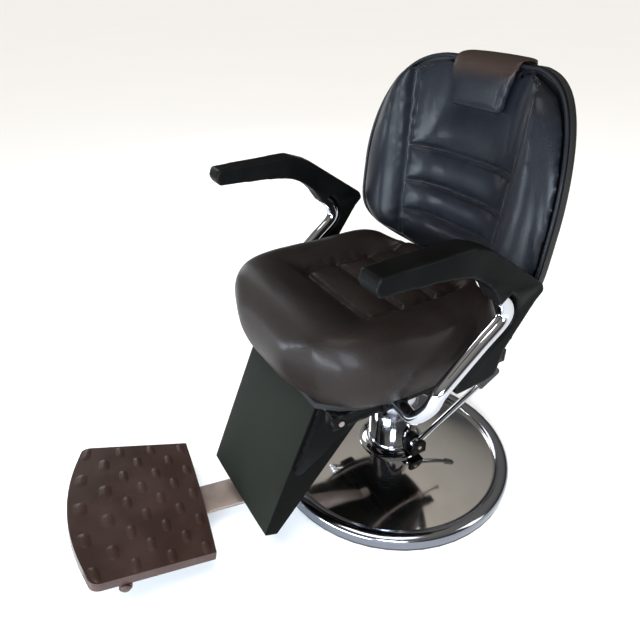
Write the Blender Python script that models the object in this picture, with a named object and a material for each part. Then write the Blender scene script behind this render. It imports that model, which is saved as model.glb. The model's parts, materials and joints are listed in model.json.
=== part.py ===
"""Barber chair on a pumped swivel column.

The back reclines and lifts the legrest with it, and the footrest swings out in front.
Metres, +Z up.  The chair faces -Y and +X is the sitter's left.
The origin is on the floor, on the column's axis.
"""
import math

import bmesh
import bpy
from mathutils import Matrix, Vector

# Gaps between pieces
FIT = 0.0003
RUN = 0.0006

# How far a cutting tool overshoots, and the two sides of the chair
OVER = 0.010
SIDES = ((1, "left"), (-1, "right"))

# Base and ballast
BASE_RADIUS = 0.300
RIM_WIDTH = 0.036
RIM_HEIGHT = 0.036
GUTTER_HEIGHT = 0.023
DOME_HEIGHT = 0.060
SHELL_WALL = 0.003
RING_HEIGHT = 0.007
RING_WIDTH = 0.030
RING_INSET = 0.001
BALLAST_HEIGHT = 0.012
BEARING_HEIGHT = 0.012
FLANGE_WIDTH = 0.022
FLANGE_HEIGHT = 0.011
TURNED_SIDES = 48

# Pump column
PUMP_RADIUS = 0.060
PUMP_TOP = 0.325
PUMP_SOFT = 0.004
RAM_RADIUS = 0.034
BORE_FLOOR = 0.110
COLLAR_RADIUS = 0.050
COLLAR_HEIGHT = 0.015
HUB_RADIUS = 0.055
HUB_HEIGHT = 0.022
HUB_TAPER = 0.006
HUB_LIFT = 0.003

# Foot lever that works the pump
LEVER_X = 0.078
LEVER_Y = 0.014
LEVER_Z = 0.094
LEVER_RADIUS = 0.008
LEVER_LENGTH = 0.215
LEVER_ANGLE = math.radians(29)
LEVER_EYE = 0.015
FORK_WALL = 0.006
FORK_GAP = 0.020
FORK_DROP = 0.021
PEDAL_LENGTH = 0.070
PEDAL_RADIUS = 0.013

# Seat frame
SADDLE_CLEARANCE = 0.005
SADDLE_HALF_Y = 0.100
SADDLE_THICK = 0.008
SADDLE_CORNER = 0.020
RAIL_CLEARANCE = 0.030
RAIL_WIDTH = 0.030
RAIL_HEIGHT = 0.030
RAIL_FRONT = -0.304
RAIL_REAR = 0.135
CROSS_YS = {"cross_tube_front": -0.085, "cross_tube_rear": 0.015, "cross_tube_footrest": -0.135}
BOARD_THICK = 0.014
BOARD_INSET = 0.040

# Seat cushion
SEAT_HALF = 0.252
SEAT_FRONT = -0.360
SEAT_REAR = 0.098
SEAT_WIDEST_FRONT = -0.130
SEAT_WIDEST_REAR = -0.050
SEAT_END = 0.006
SEAT_THICK = 0.096
SEAT_CROWN = 0.044
SEAT_PANEL_RISE = 0.020
SEAT_SEAM_SHARE = 0.49
SEAT_SEAM_Y = -0.185
SEAT_CHANNELS = (-0.100, -0.015)
SEAT_DRAW_IN = 0.018
SEAT_BULGE = 0.007
CHANNEL_DEPTH = 0.010
CHANNEL_HALF = 0.012
END_ROUND = 0.055
PAD_GAP = 0.0010

# Back: its hinge, then the datum plane of the back ahead of and above the hinge
HINGE_Y = 0.125
HINGE_Z = 0.440
BACK_TILT = math.radians(5.8)
BACK_SET = 0.0251
BACK_RISE = 0.0784
BACK_HALF = 0.274
BACK_WIDEST = 0.190
BACK_END_LOW = 0.006
BACK_END_HIGH = 0.003
BACK_BOTTOM = 0.020
BACK_TOP = 0.432
BACK_WRAP = 0.071
SHELL_DEPTH = 0.0315
SHELL_THICK = 0.016
SHELL_RIM = 0.006
BACK_EDGE = 0.010
PANEL_AHEAD = -0.002
PANEL_DRAW = 0.009
PANEL_DRAW_UP = 0.300
SEAM_AHEAD = 0.0355
BOLSTER_CROWN = 0.034
BACK_SEAM_FOOT = 0.136
BACK_SEAM_FLARE = 0.066
BACK_CHANNELS = (0.100, 0.168, 0.245)
BACK_BULGE = 0.002

# Recline hinge and the linkage to the legrest
PLATE_THICK = 0.004
LINK_HALF = 0.009
LINK_THICK = 0.006
LINK_GAP = 0.0015
BRACKET_THICK = 0.005
BRACKET_EYE = 0.014
BRACKET_FOOT = 0.050
SHAFT_RADIUS = 0.009
SHAFT_PROUD = 0.018
PIN_RADIUS = 0.005
CRANK_Y = 0.075
CRANK_Z = -0.055
HUB_DISC_RADIUS = 0.030
HUB_DISC_THICK = 0.016
PIN_PROUD = 0.002
ARM_EYE = 0.015
ARM_BLADE = 0.026
ARM_REACH = 0.150
RECLINE_LEVER_LENGTH = 0.110
RECLINE_LEVER_DROP = math.radians(18)
RECLINE_LEVER_EYE = 0.014
GRIP_LENGTH = 0.070
GRIP_RADIUS = 0.011

# Legrest
LEG_Y = -0.287
LEG_ROD_RISE = 0.0111
LEG_TILT = math.radians(22.7)
LEG_HALF = 0.135
LEG_FRONT = 0.020
LEG_TOP = 0.010
LEG_LENGTH = 0.319
LEG_DEPTH_TOP = 0.112
LEG_DEPTH_BOTTOM = 0.0085
LEG_CROWN = 0.006
LEG_ROUND = 0.013
LEG_ROD_RADIUS = 0.006
LEG_BORE = 0.0075
LEG_SLANT = 0.016
LEG_PLATE_REACH = 0.150
LEG_PLATE_EYE = 0.013

# Armrests
ARM_CLEARANCE = 0.035
TUBE_RADIUS = 0.0145
PAD_HALF = 0.024
WING_HALF = 0.0115
ARM_ROUND = 0.006
ARM_SWELL_LOW = 0.580
ARM_SWELL_HIGH = 0.625
ARM_SWELL_REAR = 0.040
ARM_SWELL_FRONT = -0.030
ARM_BRACKET = (0.060, 0.006, 0.026)
TUBE_FOOT_Y = -0.165
TUBE_BEND = 0.034
TUBE_POINTS = ((-0.143, 0.459), (-0.059, 0.533), (-0.012, 0.574), (-0.013, 0.604), (-0.036, 0.630))
ARM_HOLLOW = ((-0.078, 0.662), (-0.130, 0.694), (-0.200, 0.704))
ARM_OUTER = ((-0.306, 0.708), (-0.313, 0.722), (-0.306, 0.741), (-0.130, 0.746), (-0.085, 0.730),
             (0.066, 0.628), (0.073, 0.612), (0.056, 0.596), (0.020, 0.544), (-0.004, 0.508), (-0.011, 0.478),
             (-0.015, 0.461), (-0.030, 0.454), (-0.110, 0.448))
ARM_TUBE_FROM = 1

# Headrest
HEAD_HALF_LOW = 0.070
HEAD_HALF_HIGH = 0.090
HEAD_BOTTOM = 0.343
HEAD_THICK = 0.016
HEAD_CAP = 0.009
HEAD_HANG = 0.040
HEAD_GAP = 0.003
HEAD_AHEAD = 0.006
HEAD_SOFT = 0.006
POST_WIDTH = 0.040
POST_THICK = 0.005
POST_LENGTH = 0.190
GUIDE_WALL = 0.005
GUIDE_LENGTH = 0.080
GUIDE_TOP = 0.330

# Footrest
SWING_Y = -0.130
BAR_FLANGE = 0.020
BAR_NECK = 0.044
BAR_CORNER = 0.012
BAR_BEND = 0.019
FOOT_YAW = math.radians(-9.2)
BAR_WIDTH = 0.080
BAR_THICK = 0.008
BAR_LOW_Y = -0.372
BAR_LOW_Z = 0.052
ROD_Y = -0.685
ROD_Z = 0.0895
ROD_RADIUS = 0.0065
SLEEVE_WALL = 0.004
CAP_RADIUS = 0.009
CAP_LENGTH = 0.004
PLATE_TILT = math.radians(11)
PLATE_REAR = 0.178
PLATE_FRONT = 0.067
PLATE_HALF_REAR = 0.171
PLATE_HALF_FRONT = 0.193
PLATE_BOW = 0.033
PLATE_REAR_BOW = 0.003
PLATE_CORNER = 0.016
PLATE_CORNER_RUN = 0.027
TRAY_THICK = 0.016
TREAD_THICK = 0.005
TRAY_BULGE = 0.002
STUD_RISE = 0.003
STUD_LIP = 0.002
STUD_DEPTH = 0.015
STUD_COLUMNS = 9
STUD_ROWS = 7
PLATE_DROP = 0.0075
LUG_INSET = 0.007
LUG_WIDTH = 0.016
LUG_RADIUS = 0.0125
BUFFER = 0.022
BUFFER_Y = 0.115
PIVOT_RADIUS = 0.008
PIVOT_HEAD = 0.013
BOLT_HEAD_HEIGHT = 0.006

# Heights and places that follow from the sizes above
RING_TOP = RING_HEIGHT + FIT
BEARING_TOP = BALLAST_HEIGHT + FIT + BEARING_HEIGHT
COLLAR_TOP = PUMP_TOP + FIT + COLLAR_HEIGHT
SADDLE_LOW = COLLAR_TOP + HUB_LIFT + HUB_HEIGHT + FIT
RAIL_LOW = SADDLE_LOW + SADDLE_THICK + FIT
RAIL_HIGH = RAIL_LOW + RAIL_HEIGHT
BOARD_LOW = RAIL_HIGH + FIT
SEAT_LOW = BOARD_LOW + BOARD_THICK + FIT
SEAT_EDGE = SEAT_LOW + SEAT_THICK
LEG_Z = RAIL_LOW + LEG_ROD_RISE
ROD_SHARE = PLATE_FRONT / (PLATE_FRONT + PLATE_REAR)
LUG_X = PLATE_HALF_FRONT + (PLATE_HALF_REAR - PLATE_HALF_FRONT) * ROD_SHARE - LUG_INSET
BACK_LOWER = BACK_WIDEST - BACK_BOTTOM + BACK_END_LOW
BACK_UPPER = BACK_TOP - BACK_WIDEST + BACK_END_HIGH
ARM_X = SEAT_HALF + ARM_CLEARANCE
SADDLE_HALF_X = LEG_HALF - SADDLE_CLEARANCE
RAIL_X = LEG_HALF + RAIL_CLEARANCE
PLATE_IN = LEG_HALF + FIT
PLATE_OUT = PLATE_IN + PLATE_THICK
LINK_IN = PLATE_OUT + LINK_GAP
BRACKET_IN = RAIL_X - FIT - BRACKET_THICK
RAIL_OUT = RAIL_X + RAIL_WIDTH

FINISHES = {
    "chrome": ((0.72, 0.73, 0.75), 0.10, 1.0),
    "steel": ((0.42, 0.37, 0.34), 0.38, 1.0),
    "black_steel": ((0.03, 0.03, 0.032), 0.45, 0.6),
    "cast_iron": ((0.05, 0.05, 0.05), 0.70, 0.8),
    "rubber": ((0.02, 0.02, 0.02), 0.80, 0.0),
    "leather": ((0.016, 0.016, 0.019), 0.38, 0.0),
    "vinyl": ((0.030, 0.032, 0.028), 0.55, 0.0),
    "moulding": ((0.012, 0.012, 0.012), 0.42, 0.0),
    "tread": ((0.045, 0.026, 0.023), 0.28, 0.0),
}
MATERIALS = {}


# Scene and modelling helpers
def empty_scene():
    for item in list(bpy.data.objects):
        bpy.data.objects.remove(item, do_unlink=True)


def make_finishes():
    made = {}
    for name, (colour, roughness, metallic) in FINISHES.items():
        material = bpy.data.materials.new(name)
        material.use_nodes = True
        shader = material.node_tree.nodes["Principled BSDF"]
        shader.inputs["Base Color"].default_value = (*colour, 1.0)
        shader.inputs["Roughness"].default_value = roughness
        shader.inputs["Metallic"].default_value = metallic
        made[name] = material
    return made


def joint_frame(name, parent=None, place=(0, 0, 0), turn=(0, 0, 0)):
    """An empty on a joint's axis.  The pieces under it are modelled in its own axes."""
    frame = bpy.data.objects.new(name, None)
    frame.location = place
    frame.rotation_euler = turn
    frame.parent = parent
    bpy.context.collection.objects.link(frame)
    return frame


def solid(name, bm, finish, frame=None, sharp=35):
    bmesh.ops.recalc_face_normals(bm, faces=bm.faces[:])
    if bm.calc_volume(signed=True) < 0:
        bmesh.ops.reverse_faces(bm, faces=bm.faces[:])
    mesh = bpy.data.meshes.new(name)
    bm.to_mesh(mesh)
    bm.free()
    mesh.materials.append(MATERIALS[finish])
    mesh.shade_smooth()
    mesh.set_sharp_from_angle(angle=math.radians(sharp))
    piece = bpy.data.objects.new(name, mesh)
    piece.parent = frame
    bpy.context.collection.objects.link(piece)
    return piece


def combine(piece, bm, operation):
    """Cut the shapes in bm out of a piece, or join them to it."""
    tool = solid(piece.name + "_tool", bm, "steel", piece.parent)
    tool.hide_render = True
    tool.display_type = "WIRE"
    step = piece.modifiers.new(operation.lower(), "BOOLEAN")
    step.operation = operation
    step.solver = "EXACT"
    step.object = tool


def drill(piece, bm):
    combine(piece, bm, "DIFFERENCE")


def add_box(bm, low, high):
    low = Vector(low)
    high = Vector(high)
    place = Matrix.Translation((low + high) / 2) @ Matrix.Diagonal((*(high - low), 1))
    return bmesh.ops.create_cube(bm, size=1, matrix=place)["verts"]


def add_rod(bm, start, end, radius, sides=16):
    start = Vector(start)
    end = Vector(end)
    run = end - start
    turn = Vector((0, 0, 1)).rotation_difference(run).to_matrix().to_4x4()
    place = Matrix.Translation((start + end) / 2) @ turn
    bmesh.ops.create_cone(bm, cap_ends=True, segments=sides, radius1=radius, radius2=radius,
                          depth=run.length, matrix=place)


def round_edges(bm, edges, width, segments=2):
    bmesh.ops.bevel(bm, geom=edges, offset=width, segments=segments, profile=0.5, affect="EDGES",
                    clamp_overlap=True, material=-1)


def sharp_edges(bm, limit=40):
    return [edge for edge in bm.edges if edge.calc_face_angle(0) > math.radians(limit)]


def turned(profile, sides=TURNED_SIDES):
    """Spin a profile of (radius, height) points about Z.  It is a closed loop, or runs from axis to axis."""
    bm = bmesh.new()
    points = [bm.verts.new((radius, 0, height)) for radius, height in profile]
    lines = [bm.edges.new(pair) for pair in zip(points, points[1:])]
    if profile[0][0] > 0:
        lines.append(bm.edges.new((points[-1], points[0])))
    bmesh.ops.spin(bm, geom=points + lines, axis=(0, 0, 1), cent=(0, 0, 0), angle=2 * math.pi,
                   steps=sides, use_merge=True)
    bmesh.ops.remove_doubles(bm, verts=bm.verts[:], dist=1e-6)
    return bm


def prism(outline, x_low, x_high, bm=None):
    """Extrude an outline of (y, z) points along X."""
    bm = bm or bmesh.new()
    face = bm.faces.new([bm.verts.new((x_low, y, z)) for y, z in outline])
    grown = bmesh.ops.extrude_face_region(bm, geom=[face])["geom"]
    moved = [item for item in grown if isinstance(item, bmesh.types.BMVert)]
    bmesh.ops.translate(bm, verts=moved, vec=(x_high - x_low, 0, 0))
    return bm


def arc(centre, radius, start, end, steps):
    """Points of a circular arc about a (y, z) centre, angles in degrees."""
    angles = [math.radians(start + (end - start) * i / steps) for i in range(steps + 1)]
    return [(centre[0] + radius * math.cos(a), centre[1] + radius * math.sin(a)) for a in angles]


def smooth_path(points, steps):
    """A smooth curve through a few points."""
    points = [Vector(point) for point in points]
    ends = [2 * points[0] - points[1]] + points + [2 * points[-1] - points[-2]]
    path = []
    for before, here, there, after in zip(ends, ends[1:], ends[2:], ends[3:]):
        for i in range(steps):
            t = i / steps
            path.append(0.5 * (2 * here + (there - before) * t
                               + (2 * before - 5 * here + 4 * there - after) * t ** 2
                               + (3 * here - before - 3 * there + after) * t ** 3))
    return path + [points[-1]]


def offset_path(path, gap):
    """A path of (y, z) points moved to its right by a gap."""
    moved = []
    for i, point in enumerate(path):
        run = (path[min(i + 1, len(path) - 1)] - path[max(i - 1, 0)]).normalized()
        moved.append(point + gap * Vector((run.y, -run.x)))
    return moved


def tube(name, path, radius, finish, frame, sides=3):
    """A round tube with closed ends along a path."""
    curve = bpy.data.curves.new(name, "CURVE")
    curve.dimensions = "3D"
    curve.bevel_depth = radius
    curve.bevel_resolution = sides
    curve.use_fill_caps = True
    line = curve.splines.new("POLY")
    line.points.add(len(path) - 1)
    for point, place in zip(line.points, path):
        point.co = (*place, 1)
    curve.materials.append(MATERIALS[finish])
    piece = bpy.data.objects.new(name, curve)
    piece.parent = frame
    bpy.context.collection.objects.link(piece)
    return piece


def stations(low, high, spans, seams=(), gap=0.0):
    """Even stations from low to high, with three at each seam: its two lips and its bottom."""
    even = [low + (high - low) * i / spans for i in range(spans + 1)]
    clear = [v for v in even if all(abs(v - seam) > 1.5 * gap for seam in seams)]
    return sorted(clear + [seam + step for seam in seams for step in (-gap, 0, gap)])


def pad(columns, rows, front, rear, bulge, flat_rear=False):
    """A closed pad: a front and a rear sheet over the same stations, joined by a bulging side."""
    bm = bmesh.new()
    bmesh.ops.create_grid(bm, x_segments=len(columns) - 1, y_segments=len(rows) - 1, size=1)
    sheet = bm.faces[:]
    grown = bmesh.ops.extrude_face_region(bm, geom=sheet)["geom"]
    raised = {item for item in grown if isinstance(item, bmesh.types.BMVert)}
    for vert in bm.verts:
        column = columns[round((vert.co.x + 1) / 2 * (len(columns) - 1))]
        row = rows[round((vert.co.y + 1) / 2 * (len(rows) - 1))]
        vert.co = front(column, row) if vert in raised else rear(column, row)
    sides = [edge for edge in bm.edges if (edge.verts[0] in raised) != (edge.verts[1] in raised)]
    if flat_rear:
        bmesh.ops.dissolve_faces(bm, faces=sheet, use_verts=False)
    bmesh.ops.recalc_face_normals(bm, faces=bm.faces[:])
    cut = bmesh.ops.subdivide_edges(bm, edges=sides, cuts=1)["geom_inner"]
    middle = [item for item in cut if isinstance(item, bmesh.types.BMVert)]
    bm.normal_update()
    for vert in middle:
        vert.co += bulge * vert.normal
    return bm


def channel(place, seams):
    """How deep a sewn channel is at a place across a run of seams."""
    nearest = min(abs(place - seam) for seam in seams)
    return CHANNEL_DEPTH * max(0.0, 1 - nearest / CHANNEL_HALF)


def rounded_half(place, widest, span, half, power, root):
    """Half width of a rounded outline at a place along it."""
    share = min(1.0, abs(place - widest) / span)
    return half * (1 - share ** power) ** (1 / root)


def ease(value, start, end):
    """From 0 at the start to 1 at the end, with a soft beginning and end."""
    share = min(1.0, max(0.0, (value - start) / (end - start)))
    return share * share * (3 - 2 * share)


def rounding(distance):
    """From 0 at a pad's end to 1 where its rounded end is over."""
    share = min(1.0, max(0.0, distance / END_ROUND))
    return math.sqrt(1 - (1 - share) ** 2)


# Base: shell, ballast, floor ring, bearing and flange
def make_base():
    gutter = BASE_RADIUS - RIM_WIDTH
    hole = PUMP_RADIUS + SHELL_WALL
    rim = BASE_RADIUS - RIM_WIDTH / 2
    dome_steps = 5
    rim_steps = 6

    def skin(wall):
        dome = []
        for i in range(dome_steps + 1):
            t = i / dome_steps
            height = GUTTER_HEIGHT + (DOME_HEIGHT - GUTTER_HEIGHT) * math.cos(t * math.pi / 2)
            dome.append((hole + (gutter - hole) * t, height - wall))
        roll = []
        for i in range(1 if wall == 0 else 0, rim_steps + 1):
            a = math.pi * (1 - i / rim_steps)
            roll.append((rim + (RIM_WIDTH / 2 - wall) * math.cos(a),
                         GUTTER_HEIGHT + (RIM_HEIGHT - GUTTER_HEIGHT - wall) * math.sin(a)))
        return dome + roll + [(BASE_RADIUS - wall, RING_TOP)]

    solid("base_shell", turned(skin(0) + skin(SHELL_WALL)[::-1]), "chrome")
    ring_in = BASE_RADIUS - RING_WIDTH
    ring_out = BASE_RADIUS - RING_INSET
    ring = [(ring_in, 0), (ring_out, 0), (ring_out, RING_HEIGHT), (ring_in, RING_HEIGHT)]
    solid("floor_ring", turned(ring), "rubber")
    bm = bmesh.new()
    add_rod(bm, (0, 0, 0), (0, 0, BALLAST_HEIGHT), ring_in - FIT, TURNED_SIDES)
    solid("ballast_plate", bm, "cast_iron")
    bearing_low = BALLAST_HEIGHT + FIT
    bearing = [(RAM_RADIUS, bearing_low), (PUMP_RADIUS, bearing_low), (PUMP_RADIUS, BEARING_TOP),
               (RAM_RADIUS, BEARING_TOP)]
    solid("swivel_bearing", turned(bearing, 32), "steel")
    low = DOME_HEIGHT + FIT
    inner = PUMP_RADIUS + RUN
    outer = inner + FLANGE_WIDTH
    soft = FLANGE_HEIGHT / 3
    flange = [(inner, low), (outer, low), (outer, low + soft), (outer - soft, low + 2 * soft),
              (inner + soft, low + FLANGE_HEIGHT), (inner, low + FLANGE_HEIGHT)]
    solid("base_flange", turned(flange), "chrome")


# Pump: housing with its ram bore, collar, and the fork that carries the foot lever
def make_pump(frame):
    low = BEARING_TOP + FIT
    bore = RAM_RADIUS + RUN
    housing = [(0, low), (PUMP_RADIUS, low), (PUMP_RADIUS, PUMP_TOP - PUMP_SOFT),
               (PUMP_RADIUS - PUMP_SOFT, PUMP_TOP), (bore, PUMP_TOP), (bore, BORE_FLOOR), (0, BORE_FLOOR)]
    solid("pump_housing", turned(housing), "chrome", frame)
    low = PUMP_TOP + FIT
    collar = [(bore, low), (COLLAR_RADIUS, low), (COLLAR_RADIUS, COLLAR_TOP - PUMP_SOFT),
              (COLLAR_RADIUS - PUMP_SOFT, COLLAR_TOP), (bore, COLLAR_TOP)]
    solid("pump_collar", turned(collar, 32), "black_steel", frame)

    # The fork is a block hugging the housing, slotted for the lever's eye
    half = FORK_GAP / 2 + FORK_WALL
    foot = LEVER_Z - FORK_DROP
    bm = bmesh.new()
    outline = arc((LEVER_Y, LEVER_Z), LEVER_EYE + FORK_WALL, 180, 0, 8)
    outline += [(LEVER_Y + LEVER_EYE + FORK_WALL, foot), (LEVER_Y - LEVER_EYE - FORK_WALL, foot)]
    prism(outline, PUMP_RADIUS / 2, LEVER_X + half, bm)
    fork = solid("lever_fork", bm, "black_steel", frame)
    cuts = bmesh.new()
    add_rod(cuts, (0, 0, 0), (0, 0, PUMP_TOP), PUMP_RADIUS + FIT, TURNED_SIDES)
    drill(fork, cuts)
    reach = LEVER_EYE + FORK_WALL * 2
    slot = bmesh.new()
    add_box(slot, (LEVER_X - FORK_GAP / 2, LEVER_Y - reach, foot + FORK_WALL),
            (LEVER_X + FORK_GAP / 2, LEVER_Y + reach, LEVER_Z + reach))
    drill(fork, slot)
    bore = bmesh.new()
    add_rod(bore, (LEVER_X - half + FIT, LEVER_Y, LEVER_Z), (LEVER_X + half * 2, LEVER_Y, LEVER_Z),
            PIN_RADIUS + FIT)
    drill(fork, bore)
    bm = bmesh.new()
    add_rod(bm, (LEVER_X - half + 2 * FIT, LEVER_Y, LEVER_Z), (LEVER_X + half + PIN_PROUD, LEVER_Y, LEVER_Z),
            PIN_RADIUS)
    solid("lever_pin", bm, "steel", frame)


# Foot lever: modelled along +Y from its pivot
def make_foot_lever(frame):
    bm = bmesh.new()
    eye_half = FORK_GAP / 2 - RUN
    outer = arc((0, 0), LEVER_EYE, 150, -150, 12)
    prism(outer, -eye_half, eye_half, bm)
    eye = solid("lever_eye", bm, "chrome", frame)
    hole = bmesh.new()
    add_rod(hole, (-FORK_GAP, 0, 0), (FORK_GAP, 0, 0), PIN_RADIUS + RUN)
    drill(eye, hole)
    tube("foot_lever", [(0, LEVER_EYE + FIT, 0), (0, LEVER_LENGTH - FIT, 0)], LEVER_RADIUS, "chrome", frame)
    bm = bmesh.new()
    add_rod(bm, (0, LEVER_LENGTH, 0), (0, LEVER_LENGTH + PEDAL_LENGTH, 0), PEDAL_RADIUS, 20)
    round_edges(bm, sharp_edges(bm), PEDAL_RADIUS / 3)
    solid("pedal_sleeve", bm, "rubber", frame)


# What the ram carries: hub, saddle plate, frame tubes and board
def make_seat_frame(frame):
    bm = bmesh.new()
    add_rod(bm, (0, 0, BORE_FLOOR + HUB_LIFT), (0, 0, SADDLE_LOW - FIT), RAM_RADIUS, 32)
    solid("pump_ram", bm, "chrome", frame)
    inner = RAM_RADIUS + FIT
    low = COLLAR_TOP + HUB_LIFT
    hub = [(inner, low), (HUB_RADIUS - HUB_TAPER, low), (HUB_RADIUS, low + HUB_HEIGHT),
           (inner, low + HUB_HEIGHT)]
    solid("saddle_hub", turned(hub, 32), "black_steel", frame)
    bm = bmesh.new()
    add_box(bm, (-SADDLE_HALF_X, -SADDLE_HALF_Y, SADDLE_LOW),
            (SADDLE_HALF_X, SADDLE_HALF_Y, SADDLE_LOW + SADDLE_THICK))
    upright = [edge for edge in bm.edges if abs(edge.verts[0].co.z - edge.verts[1].co.z) > SADDLE_THICK / 2]
    round_edges(bm, upright, SADDLE_CORNER, 3)
    solid("saddle_plate", bm, "black_steel", frame)

    for side, name in SIDES:
        bm = bmesh.new()
        near, far = sorted((side * RAIL_X, side * RAIL_OUT))
        add_box(bm, (near, RAIL_FRONT, RAIL_LOW), (far, RAIL_REAR, RAIL_HIGH))
        rail = solid("seat_rail_" + name, bm, "black_steel", frame)
        hole = bmesh.new()
        add_rod(hole, (near - OVER, LEG_Y, LEG_Z), (far + OVER, LEG_Y, LEG_Z), LEG_ROD_RADIUS + FIT)
        drill(rail, hole)
    reach = RAIL_X - FIT
    for name, place in CROSS_YS.items():
        bm = bmesh.new()
        add_box(bm, (-reach, place - RAIL_WIDTH / 2, RAIL_LOW), (reach, place + RAIL_WIDTH / 2, RAIL_HIGH))
        solid(name, bm, "black_steel", frame)

    bm = bmesh.new()
    rows = stations(SEAT_FRONT + BOARD_INSET, SEAT_REAR - BOARD_INSET / 2, 12)
    rim = [(seat_half(y) - BOARD_INSET, y) for y in rows]
    loop = [(x, y) for x, y in rim] + [(-x, y) for x, y in reversed(rim)]
    face = bm.faces.new([bm.verts.new((x, y, BOARD_LOW)) for x, y in loop])
    grown = bmesh.ops.extrude_face_region(bm, geom=[face])["geom"]
    moved = [item for item in grown if isinstance(item, bmesh.types.BMVert)]
    bmesh.ops.translate(bm, verts=moved, vec=(0, 0, BOARD_THICK))
    solid("seat_board", bm, "vinyl", frame)

    bm = bmesh.new()
    reach = RAIL_OUT + PIN_PROUD
    add_rod(bm, (-reach, LEG_Y, LEG_Z), (reach, LEG_Y, LEG_Z), LEG_ROD_RADIUS)
    solid("legrest_rod", bm, "steel", frame)


# Seat cushion: a U-shaped bolster round a panel with sewn channels
def seat_half(y):
    if y < SEAT_WIDEST_FRONT:
        span = SEAT_WIDEST_FRONT - SEAT_FRONT + SEAT_END
        return rounded_half(y, SEAT_WIDEST_FRONT, span, SEAT_HALF, 3.2, 2.6)
    if y > SEAT_WIDEST_REAR:
        span = SEAT_REAR - SEAT_WIDEST_REAR + SEAT_END
        return rounded_half(y, SEAT_WIDEST_REAR, span, SEAT_HALF, 4.0, 2.5)
    return SEAT_HALF


def make_seat_cushion(frame):
    def front(share, y):
        side = (1 - abs(share)) / (1 - SEAT_SEAM_SHARE)
        ahead = (y - SEAT_FRONT) / (SEAT_SEAM_Y - SEAT_FRONT)
        t = min(side, ahead)
        fade = rounding(SEAT_REAR - y)
        if t < 1:
            rise = SEAT_PANEL_RISE * t ** 0.5 + SEAT_CROWN * math.sin(math.pi * t ** 0.8) ** 0.8
        else:
            edges = (SEAT_SEAM_Y,) + SEAT_CHANNELS
            rise = SEAT_PANEL_RISE + CHANNEL_DEPTH - channel(y, edges)
            if abs(abs(share) - SEAT_SEAM_SHARE) < 1e-6:
                rise = SEAT_PANEL_RISE
        return (share * seat_half(y), y, SEAT_EDGE + rise * fade - (1 - fade) * SEAT_PANEL_RISE)

    def rear(share, y):
        middle = (SEAT_FRONT + SEAT_REAR) / 2
        length = (SEAT_REAR - SEAT_FRONT) / 2
        half = seat_half(y) - SEAT_DRAW_IN
        return (share * half, middle + (y - middle) * (1 - SEAT_DRAW_IN / length), SEAT_LOW)

    half = stations(0, 1, 8, (SEAT_SEAM_SHARE,), CHANNEL_HALF / SEAT_HALF)
    columns = [-share for share in reversed(half[1:])] + half
    rows = stations(SEAT_FRONT, SEAT_REAR, 15, (SEAT_SEAM_Y,) + SEAT_CHANNELS, CHANNEL_HALF)
    bm = pad(columns, rows, front, rear, SEAT_BULGE, flat_rear=True)
    solid("seat_cushion", bm, "leather", frame, sharp=60)


# Back: points are given as x, height up the back and depth ahead of its datum plane
def back_point(x, up, ahead):
    return (x, -BACK_SET - ahead, BACK_RISE + up)


def back_half(up):
    if up < BACK_WIDEST:
        return rounded_half(up, BACK_WIDEST, BACK_LOWER, BACK_HALF, 6.0, 2.0)
    return rounded_half(up, BACK_WIDEST, BACK_UPPER, BACK_HALF, 1.8, 4.5)


def shell_ahead(x):
    return BACK_WRAP * (x / BACK_HALF) ** 2 - SHELL_DEPTH


def back_seam(up):
    return min(BACK_SEAM_FOOT + BACK_SEAM_FLARE * up, 0.8 * back_half(up))


def panel_ahead(x, up):
    """The panel is flat in the middle, rises to its seams, and is drawn back behind the headrest."""
    middle = PANEL_AHEAD - PANEL_DRAW * rounding(up - PANEL_DRAW_UP)
    share = abs(x) / back_seam(up)
    return middle + (SEAM_AHEAD - middle) * share ** 4 - channel(up, BACK_CHANNELS) * (1 - share ** 4)


def make_back(frame):
    def across(share, up):
        """Columns spread so that the middle one of each half follows the seam."""
        half = back_half(up)
        seam = back_seam(up)
        part = abs(share)
        x = 2 * part * seam if part <= 0.5 else seam + (2 * part - 1) * (half - seam)
        return math.copysign(x, share)

    def front(share, up):
        x = across(share, up)
        edge = shell_ahead(x) + BACK_EDGE
        part = abs(share)
        fade = rounding(min(up - BACK_BOTTOM, BACK_TOP - up))
        if part <= 0.5:
            ahead = panel_ahead(x, up)
        else:
            t = 2 * part - 1
            rim = shell_ahead(back_half(up)) + BACK_EDGE
            crown = BOLSTER_CROWN * math.sin(math.pi * t ** 0.8) ** 0.8
            ahead = SEAM_AHEAD + (rim - SEAM_AHEAD) * t ** 2 + crown
        return back_point(x, up, edge + max(0.0, ahead - edge) * fade)

    def rear(share, up):
        x = across(share, up)
        return back_point(x, up, shell_ahead(x) + PAD_GAP)

    half = stations(0, 1, 10)
    columns = [-share for share in reversed(half[1:])] + half
    rows = stations(BACK_BOTTOM, BACK_TOP, 14, BACK_CHANNELS, CHANNEL_HALF)
    solid("back_cushion", pad(columns, rows, front, rear, BACK_BULGE), "leather", frame, sharp=60)

    middle = (BACK_BOTTOM + BACK_TOP) / 2
    length = (BACK_TOP - BACK_BOTTOM) / 2

    def shell_face(depth):
        def place(share, up):
            x = share * (back_half(up) + SHELL_RIM)
            return back_point(x, middle + (up - middle) * (1 + SHELL_RIM / length), shell_ahead(x) - depth)
        return place

    rows = [middle - length * math.cos(angle) for angle in stations(0, math.pi, 12)]
    bm = pad(stations(-1, 1, 16), rows, shell_face(0), shell_face(SHELL_THICK), 0)
    solid("back_shell", bm, "moulding", frame, sharp=50)


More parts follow.
